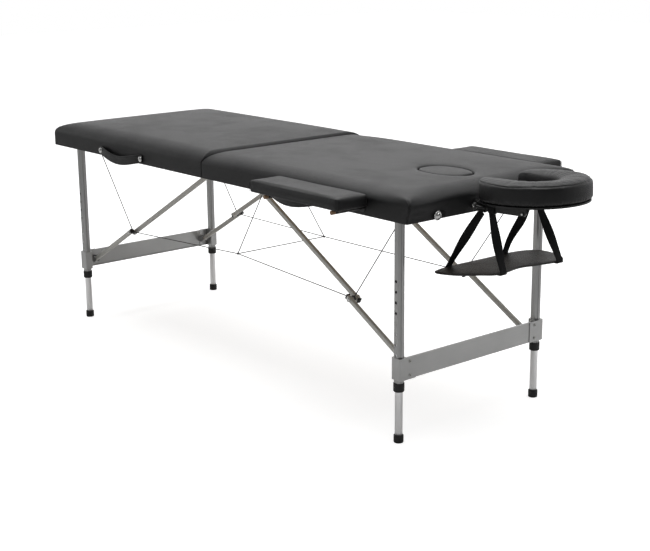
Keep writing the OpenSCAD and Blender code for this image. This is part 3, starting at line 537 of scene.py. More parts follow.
FINISH["beech"] = make_wood("beech", (0.50, 0.38, 0.26), (0.32, 0.22, 0.14), (0.6, 6, 6))
FINISH["plywood"] = make_wood("plywood", (0.55, 0.43, 0.30), (0.38, 0.27, 0.17), (0.5, 5, 5))
FINISH["stained beech"] = make_wood("stained beech", (0.44, 0.28, 0.17), (0.24, 0.13, 0.075), (6, 0.6, 6))
print(len(FINISH), "finishes in all")

# %% [markdown]
# ## Dressing a piece
# Every new piece is told three things: which body it moves with, its finish, and which solids it
# stands for. Solids whose own shape is right, such as the drilled legs, keep it and only get a
# finish. That finish goes on the object instead of its mesh, so that the mesh stays as it came.

# %% Dressing helpers
def dress(obj, body, finish_name, stands_for=()):
    obj.name = obj.name.replace(" ", "_")
    obj.data.materials.clear()
    obj.data.materials.append(FINISH[finish_name])
    if body:
        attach(obj, body)
    if stands_for:
        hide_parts(*stands_for)
    return obj


print("a piece can be dressed")

# %% Solids that keep their own shape
END_SOLIDS = {
    "frame": "beech", "board": "plywood", "fasteners": "bright plating",
    "leg_hinges": "zinc plating", "brace_hinges": "zinc plating", "hinge_leaves": "zinc plating",
    "upper_legs": "leg aluminium", "leg_collars": "black rubber",
    "crossbar": "bar aluminium", "crossbar_brackets": "bar aluminium",
    "upper_braces": "brace aluminium", "lower_braces": "brace aluminium",
    "near_tube": "bright tube", "far_tube": "bright tube",
    "near_pad": "black rubber", "far_pad": "black rubber",
}
OTHER_SOLIDS = {
    "latch_keepers": "bright plating", "centre_hinge_pins": "zinc plating", "rod_sockets": "black plastic",
    "near_armrest_frame": "black plastic", "far_armrest_frame": "black plastic",
    "cradle_base": "zinc plating", "cradle_arms": "black plastic",
}


def paint_solid(node, finish_name):
    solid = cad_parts[node]
    for place in solid.material_slots:
        place.link = "OBJECT"
        place.material = FINISH[finish_name]


for end in ENDS:
    for node, finish_name in END_SOLIDS.items():
        paint_solid(f"{end}_{node}", finish_name)
for node, finish_name in OTHER_SOLIDS.items():
    paint_solid(node, finish_name)
print(2 * len(END_SOLIDS) + len(OTHER_SOLIDS), "solids painted")

# %% [markdown]
# ## The padded halves
# On the real table one sheet of vinyl runs over foam and round the wooden rails, and is stapled
# under them. It could be a cloth simulation, but a cover this tight hardly hangs, so its shape is
# written down. Each half is one skin: it starts at the rails' lower edge, climbs the side, rolls
# over the foam edge in a wide quarter ellipse, and crosses the top with a slight crown. At the
# seam between the halves the roll is tight. The corners have a sewn dart, which is a groove, and
# at the head end the vinyl is fuller there: it bulges past the end and has a pinched fold.

# %% Outline of a half
CORNER_STEPS, END_STEPS, LONG_STEPS = 8, 26, 34
EVEN_SHARE = 0.35                      # the rest of the spacing crowds towards the corners


def half_outline(x0, x1, half_y, r_seam, r_end):
    """Anticlockwise from the outer far corner; every outline has the same number of points."""
    corners = [(x1, 1, r_end, 0), (x0, 1, r_seam, 1), (x0, -1, r_seam, 2), (x1, -1, r_end, 3)]
    arcs = []
    for x, side, r, q in corners:
        cx = x - r if q in (0, 3) else x + r
        cy = side * (half_y - r)
        sweep = [math.pi / 2 * (q + i / CORNER_STEPS) for i in range(CORNER_STEPS + 1)]
        arcs.append([(cx + r * math.cos(w), cy + r * math.sin(w)) for w in sweep])
    points = []
    for q, arc in enumerate(arcs):
        points += arc
        a, b = arc[-1], arcs[(q + 1) % 4][0]
        steps = END_STEPS if q % 2 else LONG_STEPS
        for j in range(1, steps):
            crowded = 0.5 - 0.5 * math.cos(math.pi * j / steps)
            t = EVEN_SHARE * j / steps + (1 - EVEN_SHARE) * crowded
            points.append((a[0] + (b[0] - a[0]) * t, a[1] + (b[1] - a[1]) * t))
    return points


def outer_corners(outline):
    """The middle points of the far and the near outer corner."""
    near = len(outline) - (END_STEPS - 1) - 1 - CORNER_STEPS // 2
    return {1: Vector(outline[CORNER_STEPS // 2]), -1: Vector(outline[near])}


print(len(half_outline(0, 1, 0.5, 0.01, 0.01)), "points round a half")

# %% What differs between the halves
SHAPE = {
    "foot": {"end reach": 0.085, "end bulge": 0.0, "full corner": {-1: 0.10, 1: 0.10},
             "seam reach": 0.018, "seam radius": 0.004, "seam slope": 0.006, "seed": 3.0},
    "head": {"end reach": 0.060, "end bulge": 0.0095, "full corner": {-1: 0.74, 1: 0.60},
             "seam reach": 0.021, "seam radius": 0.016, "seam slope": 0.034, "seed": 8.0},
}


def crown(end, x, y):
    """Height of the foam's middle over its edge."""
    u = (x - HALF_LENGTH / 2) / (HALF_LENGTH / 2 - 0.03)
    v = y / (HALF_WIDTH - 0.03)
    return CROWN[end] * max(0, 1 - u ** 4) * max(0, 1 - v ** 4)


def foam_life(x, y, seed):
    """Slight unevenness of foam under a stretched cover."""
    broad, fine = noise.noise(Vector((x * 7, y * 7, seed))), noise.noise(Vector((x * 30, y * 30, seed)))
    return 0.0007 * broad + 0.00025 * fine


print("crown at the middle of each half:", [round(crown(end, HALF_LENGTH / 2, 0), 4) for end in ENDS])

# %% Folds and bulges of a cover
GROOVE_DEPTH, GROOVE_WIDE, GROOVE_LOW, GROOVE_HIGH = 0.0014, 0.0020, 0.6445, 0.703
RIDGE_HEIGHT, RIDGE_AWAY, RIDGE_WIDE = 0.0010, 0.0055, 0.0030
EAR, EAR_WIDE, EAR_Z, EAR_TALL = 0.0040, 0.008, 0.7125, 0.0045
PINCH, PINCH_AWAY, PINCH_WIDE, PINCH_Z, PINCH_TALL = 0.0060, 0.002, 0.0032, 0.7090, 0.0042
BULGE_FROM_X, BULGE_FROM_Y, BULGE_FROM_Z = 0.85, 0.19, 0.658
SLACK, SLACK_LOW, SLACK_FROM_Y = 0.0011, 0.650, 0.25
SLACK_FROM_X, SLACK_TO_X = 0.01, 0.90


def corner_groove(away, z):
    """Depth of the sewn dart, with a low ridge beside it; it fades out at the hem and in the roll."""
    groove = GROOVE_DEPTH * hump(away, GROOVE_WIDE) - RIDGE_HEIGHT * hump(away - RIDGE_AWAY, RIDGE_WIDE)
    groove *= (1 - ease((z - GROOVE_HIGH) / 0.007)) * ease((z - GROOVE_LOW) / 0.003)
    return groove


def corner_fold(full, away, z):
    """How far the folded vinyl stands out as an ear above, and is pinched in below it."""
    ear = full * EAR * hump(away, EAR_WIDE) * hump(z - EAR_Z, EAR_TALL)
    pinch = full * PINCH * hump(away - PINCH_AWAY, PINCH_WIDE) * hump(z - PINCH_Z, PINCH_TALL)
    return ear, pinch


def end_bulge(shape, x, y, z, part):
    """How far the vinyl stands out past an end, near its corners."""
    bulge = shape["end bulge"] * ease((abs(y) - BULGE_FROM_Y) / 0.12) * ease((x - BULGE_FROM_X) / 0.05)
    return bulge * (ease((z - BULGE_FROM_Z) / 0.026) * (1 - part) ** 3)


def side_slack(shape, side, x, y, z):
    """Faint waves of the vinyl along a long side."""
    wave = noise.noise(Vector((x * 5, side * 3 + y, z * 22 + shape["seed"])))
    return SLACK * abs(wave) * ease((z - SLACK_LOW) / 0.01)


print("bulge at the head corners:", end_bulge(SHAPE["head"], HALF_LENGTH, HALF_WIDTH, ROUND_START, 0))

# %% One loop of a cover
LONG_REACH = 0.060                     # how far the roll reaches in over a long side
SEAM_CORNER, END_CORNER, CORNER_GROWTH = 0.003, 0.0048, 0.035
SEAM_SLOPE_LONG, SEAM_SLOPE_FROM_Y = 0.10, 0.15
FULL_WIDE, FULL_TOP = 0.05, 0.709      # how far a full corner reaches round its point and up the roll
DIAGONAL = 0.7                         # what a move along the corner's diagonal adds to each axis


def cover_level(end, roll, rise):
    """One loop of the cover; roll is 0 at the top of the side and 1 where the top begins."""
    shape = SHAPE[end]
    w = math.radians(90 * roll)
    part = 1 - math.cos(w)
    z = ROUND_START + (EDGE_TOP[end] - ROUND_START) * math.sin(w) if roll > 0 else rise
    flat = half_outline(SEAM + shape["seam reach"] * part, HALF_LENGTH - shape["end reach"] * part,
                        HALF_WIDTH - LONG_REACH * part,
                        SEAM_CORNER + shape["seam radius"] * part, END_CORNER + CORNER_GROWTH * part)
    corners = outer_corners(flat)
    loop = []
    for x, y in flat:
        side = 1 if y > 0 else -1
        slope = side * shape["seam slope"] * part * hump(x, SEAM_SLOPE_LONG)
        y -= slope * ease((abs(y) - SEAM_SLOPE_FROM_Y) / 0.1)
        away = (Vector((x, y)) - corners[side]).length
        full = shape["full corner"][side]
        fullness = full * hump(away, FULL_WIDE) * (1 - ease((z - FULL_TOP) / 0.014))
        groove = corner_groove(away, z) * DIAGONAL
        ear, pinch = corner_fold(full, away, z)
        slack = side_slack(shape, side, x, y, z)
        x += shape["end reach"] * part * fullness - groove + ear + end_bulge(shape, x, y, z, part) - pinch
        if abs(y) <= SLACK_FROM_Y or not SLACK_FROM_X < x < SLACK_TO_X:
            slack = 0
        y += side * (LONG_REACH * part * fullness - groove + ear + slack)
        loop.append(Vector((x, y, z + crown(end, x, y) * part ** 2)))
    return loop


print("the roll reaches", LONG_REACH, "in over the long sides")

# %% Loops of a side, from the hem to the top
HEM = [(0.0015, 0.6453), (0.0007, 0.6454), (0.0002, 0.6459), (0.0, 0.6468)]
SIDE_LEVELS = (0.650, 0.657, 0.664, 0.672, 0.681, ROUND_START)
ROLL_STEPS = (0.06, 0.13, 0.2, 0.28, 0.36, 0.45, 0.55, 0.65, 0.76, 0.88, 1.0)


def side_loops(end):
    loops = []
    for inset, z in HEM:
        flat = half_outline(SEAM + inset * 0.6, HALF_LENGTH - inset, HALF_WIDTH - inset,
                            SEAM_CORNER, END_CORNER)
        loops.append([Vector((p[0], p[1], z)) for p in flat])
    for z in SIDE_LEVELS:
        loops.append(cover_level(end, 0, z))
    for roll in ROLL_STEPS:
        loops.append(cover_level(end, roll, 0))
    return loops


print(len(side_loops("foot")), "loops from the hem to the top")

# %% Foot half
TOWARDS_MIDDLE = (0.06, 0.14, 0.26, 0.4, 0.55, 0.7, 0.85)


def on_top(end, x, y):
    return Vector((x, y, EDGE_TOP[end] + crown(end, x, y) + foam_life(x, y, SHAPE[end]["seed"])))


def bring_to(obj, sign):
    """Mirrors a piece to the foot end where sign is -1."""
    if sign < 0:
        for v in obj.data.vertices:
            v.co.x = -v.co.x
        obj.data.flip_normals()
    return obj


def thicken(obj, thickness=0.0008):
    modifier = obj.modifiers.new("thickness", "SOLIDIFY")
    modifier.thickness = thickness
    modifier.offset = -1
    return settle(obj)


def foot_cover():
    loops = side_loops("foot")
    rim = loops[-1]
    centre = Vector((HALF_LENGTH / 2, 0, 0))
    for s in TOWARDS_MIDDLE:
        loops.append([on_top("foot", *(p.lerp(centre, s)).xy) for p in rim])
    cover = skin("foot half cover", loops, low_cap=False)
    return thicken(smoother(bring_to(cover, -1)))


dress(foot_cover(), "foot_panel", "grey vinyl", ["foot_cushion", "foot_side_vinyl"])
print("foot half covered")

# %% [markdown]
# ## The breath hole
# The head half is the same skin with an oval hole for the breath. The hole could be cut with a
# boolean, but a cut leaves a sharp edge, while here the loops simply turn oval on their way in. The
# vinyl rolls over the rim and goes down the wall of the hole, and it is pulled tight at the two
# ends, where short creases run out from the hole.

# %% Head half
SINK, SINK_REACH = 0.0022, 0.22
CREASE, CREASE_WIDE, CREASE_REACH, CREASE_FROM = 0.0026, 0.13, 0.22, 0.9
TOWARDS_HOLE = (0.08, 0.2, 0.35, 0.52, 0.68, 0.8, 0.9, 0.96)
HOLE_LIP, HOLE_ROUNDING = 0.008, 0.03
HOLE_WALL = ((HOLE_LIP, 0.0002), (0.0045, 0.0009), (0.0018, 0.0028), (0.0004, 0.0070), (0.0, 0.013),
             (0.0, 0.024))


def hole_pull(x, y):
    """The top sinks a little towards the hole, and creases run out from the hole's ends."""
    u, v = (x - HOLE_X) / HOLE_A, y / HOLE_B
    r = math.hypot(u, v)
    sink = SINK * hump(max(r - 1, 0), SINK_REACH)
    crease = 0.0
    for side in (-1, 1):
        out = side * u - CREASE_FROM
        if out > 0:
            crease += CREASE * hump(v, CREASE_WIDE) * math.exp(-out / CREASE_REACH)
    return sink + crease


def head_cover():
    loops = side_loops("head")
    rim = loops[-1]

    def hole_point(k, grow):
        w = math.atan2(rim[k].y / (HOLE_B + HOLE_ROUNDING), (rim[k].x - HOLE_X) / (HOLE_A + HOLE_ROUNDING))
        return HOLE_X + (HOLE_A + grow) * math.cos(w), (HOLE_B + grow) * math.sin(w)

    def raised(x, y, down=0.0):
        p = on_top("head", x, y)
        p.z -= hole_pull(x, y) + down
        return p

    for s in TOWARDS_HOLE:
        flat = [rim[k].xy * (1 - s) + Vector(hole_point(k, HOLE_LIP)) * s for k in range(len(rim))]
        loops.append([raised(*p) for p in flat])
    for grow, down in HOLE_WALL:
        loops.append([raised(*hole_point(k, grow), down) for k in range(len(rim))])
    cover = skin("head half cover", loops, low_cap=False, high_cap=False)
    return thicken(smoother(cover))


dress(head_cover(), "head_panel", "grey vinyl", ["head_cushion", "head_side_vinyl"])
print("head half covered")

# %% [markdown]
# ## The plug
# The hole is closed by an oval cushion of its own, in the same vinyl, which sits a little below the
# rim. A flattened sphere would look blown up, so the plug is a stack of ovals too: a soft lower
# edge, an upright wall and a top that rises only slightly. It leaves a wider gap at the oval's ends
# than at its sides.

# %% Plug
PLUG_A, PLUG_B, PLUG_LOW, PLUG_TOP = HOLE_A - 0.0030, HOLE_B - 0.0022, 0.6956, 0.7250
END_GAP = 0.0048
PLUG_STEPS = [(0.006, 0.0), (0.0015, 0.05), (0.0, 0.16), (0.0006, 0.5), (0.0, 0.78), (0.001, 0.88),
              (0.0035, 0.95), (0.008, 0.985), (0.016, 1.0), (0.03, 1.02), (0.045, 1.035)]


def plug():
    loops = []
    for inset, t in PLUG_STEPS:
        z = PLUG_LOW + t * (PLUG_TOP - PLUG_LOW)
        loop = []
        for w in turns(72):
            a, b = PLUG_A - inset - END_GAP * math.cos(w) ** 16, PLUG_B - inset
            loop.append(Vector((HOLE_X + a * math.cos(w), b * math.sin(w), z)))
        loops.append(loop)
    return smoother(skin("breath hole plug", loops))


dress(plug(), "plug", "grey vinyl", ["breath_plug"])
print("plug in place, wall up to", PLUG_TOP)

# %% [markdown]
# ## Corner seams
# Each outer corner of the covers is sewn shut from the hem up to the roll of the foam. The thread
# lies in the groove and reads as a dark upright line. A dark stripe in the material could show it,
# but a real thread follows the groove's bend and catches the light. It is a thin round section,
# carried through the corner point of each level of the cover.

# %% Corner seams
SEAM_LOW, SEAM_HIGH, SEAM_STEPS, THREAD = 0.6462, 0.7118, 14, 0.0006


def corner_seam(end, side):
    path = []
    for i in range(SEAM_STEPS + 1):
        z = SEAM_LOW + (SEAM_HIGH - SEAM_LOW) * i / SEAM_STEPS
        sine = max(0.0, (z - ROUND_START) / (EDGE_TOP[end] - ROUND_START))
        loop = cover_level(end, math.degrees(math.asin(sine)) / 90, z)
        corner = max(loop, key=lambda p: p.x + side * p.y)
        path.append(corner + Vector((-0.0002, -0.0002 * side, 0)))
    return skin("seam", carried(path, circle(THREAD, 8), side=(1, 0, 0)))


for end, sign in ENDS.items():
    seams = bring_to(join(f"{end} corner seams", [corner_seam(end, side) for side in (-1, 1)]), sign)
    dress(seams, f"{end}_panel", "thread")
print("corners sewn")

# %% [markdown]
# ## Carrying handles
# A handle is a padded vinyl strap with two rows of stitches, held by a screw and a cup washer at
# each end. It hangs away from the side in a bow. A flat curve with a bevel would give a plain
# band. Here a section with a valley under each row of stitches is carried along the bow, and each
# stitch is a small rounded thread of its own, so that it casts a shadow.

# %% Handle strap
HANDLE_X, HANDLE_SPAN, HANDLE_Z = 0.472, 0.238, 0.663
HANDLE_TALL, HANDLE_THICK = 0.030, 0.0046
HANDLE_BOW = {"foot": 0.012, "head": 0.026}
HANDLE_STEPS = 48
STITCH_ROW = 0.72                      # a row's height over the middle, as a part of the half-height


def handle_path(t, end):
    """Middle line, with t from -0.07 to 1.07 over the tabs at both ends."""
    bow = max(0.0, math.sin(math.pi * min(max(t, 0), 1)))
    return Vector((HANDLE_X + HANDLE_SPAN * (t - 0.5), -HALF_WIDTH - 0.0038 - HANDLE_BOW[end] * bow ** 0.6,
                   HANDLE_Z - 0.0175 * bow ** 1.2))


def strap_section():
    """Height and thickness round the padded strap, with a valley under each row of stitches."""
    shape = []
    for s in range(15):
        u = -1 + 2 * s / 14
        valley = hump(abs(u) - STITCH_ROW, 0.09)
        shape.append((u * HANDLE_TALL / 2, HANDLE_THICK / 2 * (1 - 0.55 * abs(u) ** 6) * (1 - 0.32 * valley)))
    return shape + [(a, -b) for a, b in reversed(shape)]


def handle(name, end, sign):
    count = HANDLE_STEPS + 1
    path = [handle_path(-0.068 + 1.136 * i / HANDLE_STEPS, end) for i in range(count)]
    narrow = [0.86 + 0.14 * ease(min(i, HANDLE_STEPS - i) / 3) for i in range(count)]

    def section(f):
        return [(a * narrow[round(f * HANDLE_STEPS)], b) for a, b in strap_section()]

    strap = smoother(skin(name, carried(path, section, side=(0, 0, 1))))
    return bring_to(strap, sign)


for end, sign in ENDS.items():
    dress(handle(f"{end} carrying handle", end, sign), f"{end}_panel", "dark vinyl",
          [f"{end}_handle"])
print("handles hung, bowing out by", HANDLE_BOW)

# %% Stitches of the handles
STITCH_COUNT, STITCH_LONG, STITCH_THREAD = 46, 0.0175, 0.00045


def stitch(a, b):
    path = [a, a.lerp(b, 0.12), a.lerp(b, 0.5), a.lerp(b, 0.88), b]
    return skin("stitch", carried(path, lambda f: circle(STITCH_THREAD * (0.35 if f in (0, 1) else 1.0), 6),
                                  side=(0, 1, 0)))


def handle_stitches(name, end, sign):
    made = []
    for side in (-1, 1):
        for i in range(STITCH_COUNT):
            start = -0.04 + 1.08 * i / STITCH_COUNT
            off = Vector((0, -0.0020, side * STITCH_ROW * HANDLE_TALL / 2))
            made.append(stitch(handle_path(start, end) + off, handle_path(start + STITCH_LONG, end) + off))
    return bring_to(join(name, made), sign)


for end, sign in ENDS.items():
    dress(handle_stitches(f"{end} handle stitches", end, sign), f"{end}_panel", "thread")
print(2 * STITCH_COUNT, "stitches in each handle")

# %% [markdown]
# ## Cup washers
# Each tab of a handle is held by a screw with a plated cup washer under its head. Washer and screw
# could be two pieces, but they are never apart and are 19 mm wide, so one turned profile draws
# both: the dished rim, the small step round the head, and the domed head.

# %% Cup washers and screws of the handles
CUP_WASHER = [(0.0, 0.0), (0.0094, 0.0), (0.0096, 0.0006), (0.0090, 0.0014), (0.0076, 0.0028),
              (0.0062, 0.0036), (0.0050, 0.0034), (0.0048, 0.0040), (0.0040, 0.0046), (0.0022, 0.0050),
              (0.0, 0.0050)]
WASHER_OFF = HANDLE_SPAN / 2 + 0.007


def cup_washer(x):
    return turned("washer", CUP_WASHER, (x, -HALF_WIDTH - 0.0060, HANDLE_Z), (0, -1, 0))


for end, sign in ENDS.items():
    washers = [cup_washer(sign * (HANDLE_X + side * WASHER_OFF)) for side in (-1, 1)]
    dress(join(f"{end} handle washers", washers), f"{end}_panel", "bright plating")
print("washers fitted", round(2 * WASHER_OFF, 3), "apart")

# %% [markdown]
# ## Tie cables
# Thin steel cables tie the elbows of the braces to the deck and to each other at mid-table. They
# are taut when the table stands, and go slack and fold away with the legs. Bevelled curves would
# draw them as well, but a round section carried along a line is a mesh at once, and can be joined
# with its fittings. Its strands are too fine to see, so the steel's finish hints at them.

# %% Where the cables run
BRACE_TOP, BRACE_FOOT = Vector((0.055, 0, 0.667)), Vector((0.843, 0, 0.215))
UPPER_BRACE, LOWER_BRACE = 0.62222, 0.28621
BRACE_ANGLE = math.atan2(BRACE_TOP.z - BRACE_FOOT.z, BRACE_FOOT.x - BRACE_TOP.x)
DOWN = Vector((math.cos(BRACE_ANGLE), 0, -math.sin(BRACE_ANGLE)))
ELBOW = BRACE_TOP + UPPER_BRACE * DOWN
ELBOW_Y, TIE = 0.2315, Vector((-0.030, 0.185, 0.371))
DECK_ANCHOR_X, DECK_ANCHOR_Z = 0.840, 0.6875
print("elbows of the braces at", [round(v, 4) for v in ELBOW])

# %% Cable fittings
CABLE, FERRULE, THIN_FERRULE = 0.0015, 0.0021, 0.0018
ANCHOR_HEAD = [(0, 0), (0.0042, 0), (0.0042, 0.002), (0.0028, 0.0032), (0, 0.0036)]
KNOT = [(0, -0.0036), (0.0024, -0.0030), (0.0036, -0.001), (0.0036, 0.001), (0.0024, 0.0030), (0, 0.0036)]
EYE = ((0.0056, -0.0016), (0.0088, -0.0016), (0.0092, 0), (0.0088, 0.0016), (0.0056, 0.0016))


def cable(a, b):
    steps = max(2, int((b - a).length / 0.02))
    path = [a.lerp(b, i / steps) for i in range(steps + 1)]
    return skin("cable", carried(path, circle(CABLE, 8)))


def ferrule(a, b, start, length, radius=FERRULE):
    """A pressed sleeve on a cable, from start along a to b, with a waist where the tool gripped it."""
    d = (b - a).normalized()
    waist = radius * 0.82
    profile = [(0.0008, 0), (radius, 0.0006), (radius, length * 0.3), (waist, length * 0.36),
               (waist, length * 0.62), (radius, length * 0.68), (radius, length - 0.0006), (0.0008, length)]
    return turned("ferrule", profile, a + d * start, d, 12)


def eye(at):
    """A flat ring on the elbow pin."""
    loops = []
    for r, h in EYE:
        loops.append([Vector((at.x + r * math.cos(w), at.y + h, at.z + r * math.sin(w))) for w in turns(24)])
    return skin("eye", loops, ring=True)


print("cables are", 2 * CABLE, "thick")

# %% Cables
def side_cable_set(sign):
    made = []
    for side in (-1, 1):
        elbow = Vector((sign * ELBOW.x, side * ELBOW_Y, ELBOW.z))
        anchor = Vector((sign * DECK_ANCHOR_X, side * ELBOW_Y, DECK_ANCHOR_Z))
        tie = Vector((TIE.x, side * TIE.y, TIE.z))
        for far, cut in ((anchor, 0.0), (tie, 0.002)):
            d = (far - elbow).normalized()
            made.append(cable(elbow + 0.008 * d, far - cut * d))
            made.append(ferrule(elbow, far, 0.009, 0.016))
        made.append(ferrule(anchor, elbow, 0.001, 0.012))
        made.append(eye(elbow))
        made.append(turned("anchor", ANCHOR_HEAD, anchor + Vector((0, 0, 0.0022)), (0, 0, -1), 16))
    return made


def mid_cable_set():
    made = []
    for side in (-1, 1):
        tie = Vector((TIE.x, side * TIE.y, TIE.z))
        top = Vector((TIE.x - 0.003, side * 0.006, 0.676))
        made += [cable(tie, top), ferrule(tie, top, 0.004, 0.011, THIN_FERRULE)]
        made.append(turned("knot", KNOT, tie, (1, 0, 0.2), 12))
    made.append(cable(Vector((TIE.x, -TIE.y, TIE.z)), TIE))
    made.append(soft_box("anchor", (TIE.x - 0.009, -0.009, 0.6737), (TIE.x + 0.003, 0.009, 0.6775), 0.0008))
    return made


for end, sign in ENDS.items():
    made = side_cable_set(sign) + (mid_cable_set() if end == "foot" else [])
    cables = dress(join(f"{end} tie cables", made), None, "cable steel", [f"{end}_cables"])
    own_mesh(cables)
    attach(cables, f"{end}_panel")
    print(f"{end} cables strung from {len(made)} pieces")

# %% [markdown]
# ## End caps of the braces
# The open ends of the brace tubes are closed with black plastic caps that fit over the tube, and
# a rivet with a wide head holds the two tubes together at the elbow. A cap could be the tube's end
# face in another material, but the real one stands proud and has soft edges, so it is a rounded
# box, turned to the brace's slope.

# %% Brace caps
CAP_LONG, CAP_WIDE, CAP_TALL, CAP_ROUND = 0.0070, 0.0134, 0.0164, 0.0026
CAP_PAST_TOP, CAP_PAST_ELBOW = 0.0100, 0.0125
UPPER_BRACE_Y, LOWER_BRACE_Y, RIVET_Y = 0.219, 0.244, 0.2505
RIVET_HEAD = [(0, 0), (0.0072, 0), (0.0072, 0.0008), (0.0056, 0.0020), (0.003, 0.0027), (0, 0.0029)]


def brace_cap(start, direction, distance, y, sign):
    """A cap over the end of a brace tube, at a distance along the tube."""
    half = (CAP_LONG / 2, CAP_WIDE / 2, CAP_TALL / 2)
    cap = soft_box("cap", [-h for h in half], half, CAP_ROUND)
    at = start + direction * distance
    turn = Matrix.Rotation(-math.atan2(direction.z, direction.x), 4, "Y")
    cap.matrix_world = Matrix.Scale(sign, 4, (1, 0, 0)) @ Matrix.Translation((at.x, y, at.z)) @ turn
    bpy.context.view_layer.update()
    return cap


for end, sign in ENDS.items():
    uppers, lowers, rivets = [], [], []
    for side in (-1, 1):
        uppers.append(brace_cap(BRACE_TOP, DOWN, -CAP_PAST_TOP, side * UPPER_BRACE_Y, sign))
        uppers.append(brace_cap(BRACE_TOP, DOWN, UPPER_BRACE + CAP_PAST_ELBOW, side * UPPER_BRACE_Y, sign))
        lowers.append(brace_cap(BRACE_FOOT, -DOWN, LOWER_BRACE + CAP_PAST_ELBOW, side * LOWER_BRACE_Y, sign))
        elbow = (sign * ELBOW.x, side * RIVET_Y, ELBOW.z)
        rivets.append(turned("rivet", RIVET_HEAD, elbow, (0, side, 0), 24))
    dress(join(f"{end} upper brace caps", uppers), f"{end}_upper_brace_pair", "black plastic")
    dress(join(f"{end} lower brace caps", lowers), f"{end}_lower_brace_pair", "black plastic")
    dress(join(f"{end} elbow rivets", rivets), f"{end}_lower_brace_pair", "bright plating")
    print(len(uppers) + len(lowers), "caps at the", end, "end")

# %% [markdown]
# ## Rivets of the crossbar
# Two hollow rivets at each corner hold the crossbar to its bracket. Their rolled heads are rings
# round a hollow eye. A boolean could sink the eye, but at 3 mm a small black disc in the middle of a
# turned ring, painted shade of the hollow, looks the same and leaves the crossbar's mesh alone.

# %% Crossbar rivets
RIVET_X, RIVET_ROWS, RIVET_COLUMNS = 0.8644, (0.198, 0.238), (-0.259, 0.259)
RIVET_RING = [(0.0, 0.0001), (0.0018, 0.0001), (0.0022, 0.0003), (0.0034, 0.0004), (0.0044, 0.0003),
              (0.0048, 0.0), (0.0048, -0.0008)]
RIVET_HOLE_SHADE = [(0, 0.0002), (0.0017, 0.0002), (0.0017, 0.0)]

for end, sign in ENDS.items():
    places = [(sign * RIVET_X, y, z) for y in RIVET_COLUMNS for z in RIVET_ROWS]
    heads = [turned("rivet", RIVET_RING, place, (sign, 0, 0), 24) for place in places]
    dress(join(f"{end} crossbar rivets", heads), f"{end}_legs", "zinc plating")
    # Black discs in the rivets' eyes: painted shade of the hollows.
    hole_shades = [turned("rivet eye", RIVET_HOLE_SHADE, place, (sign, 0, 0), 16) for place in places]
    dress(join(f"{end} crossbar rivet eyes", hole_shades), f"{end}_legs", "black plastic")
    print(len(places), "rivets at the", end, "end")

# %% [markdown]
# ## Lower legs
# The lower leg is a polished round tube that slides in the upper one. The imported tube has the
# right place and length, but its facets would show in a polish. So the tube is made again as a
# ring of finer loops, with rounded lips. The button's hole is left out, since the button fills it.
# The top stops just above the button, so the holes higher up look dark.

# %% Lower leg tubes
LEG_X, LEG_Y, TUBE_LOW, TUBE_LONG = 0.843, 0.283, 0.0063, 0.3660
TUBE_WALL = [(0.0094, 0.0), (0.0106, 0.0), (0.0110, 0.0004), (0.0110, 0.3653), (0.0104, TUBE_LONG),
             (0.0094, TUBE_LONG), (0.0093, 0.3650), (0.0093, 0.0004)]


def lower_tube(name, x, y):
    rings = []
    for r, h in TUBE_WALL:
        rings.append([Vector((x + r * math.cos(w), y + r * math.sin(w), TUBE_LOW + h)) for w in turns(48)])
    return skin(name, rings, ring=True)


for end, sign in ENDS.items():
    for side_name, side in SIDES.items():
        tube = lower_tube(f"{end} {side_name} lower tube", sign * LEG_X, side * LEG_Y)
        dress(tube, f"{end}_{side_name}_lower_leg", "bright tube",
              [f"{end}_{side_name}_tube"])
print("lower legs", TUBE_LONG, "long")

# %% [markdown]
# ## Snap buttons
# Each leg height is set by a sprung button that pokes out of a hole in the upper tube. A cylinder
# would have a hard rim that no thumb would like, so the button is turned with a domed end. It
# stands on a thin strip of spring steel inside the tube. Both move with the button's own body,
# because the real button has to be pressed in before the leg slides.

# %% Snap buttons
BUTTON_Z, BUTTON_OUT = 0.348, 0.0078
BUTTON = [(0, 0), (0.0038, 0), (0.0038, 0.0040), (0.0034, 0.0052), (0.0022, 0.0060), (0, 0.0063)]
STRIP_THICK, STRIP_HALF, STRIP_BELOW, STRIP_ABOVE = 0.0010, 0.003, 0.055, 0.005


def snap_button(name, x, y, side):
    button = turned("button", BUTTON, (x, y, BUTTON_Z), (0, side, 0), 24)
    inner, outer = sorted((y - side * STRIP_THICK, y))
    strip = soft_box("strip", (x - STRIP_HALF, inner, BUTTON_Z - STRIP_BELOW),
                     (x + STRIP_HALF, outer, BUTTON_Z + STRIP_ABOVE), 0.0003, 2)
    return join(name, [button, strip])


for end, sign in ENDS.items():
    for side_name, side in SIDES.items():
        x, y = sign * LEG_X, side * (LEG_Y + BUTTON_OUT)
        key = f"{end}_{side_name}"
        piece = dress(snap_button(f"{key} snap button", x, y, side), None, "zinc plating",
                      [f"{key}_button"])
        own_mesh(piece)
        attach(piece, f"{key}_snap_button")
print("buttons at a height of", BUTTON_Z)

# %% [markdown]
# ## Case latches
# On the head end, near each corner, a small turning latch holds the folded case shut: a knurled
# plated boss with a blackened hook behind it. Knurls could be a bump in the material, but they
# show at the boss's edge, so they are in the mesh. The boss is a turned disc whose rim is cut into
# lobes, and the hook is two rounded boxes.

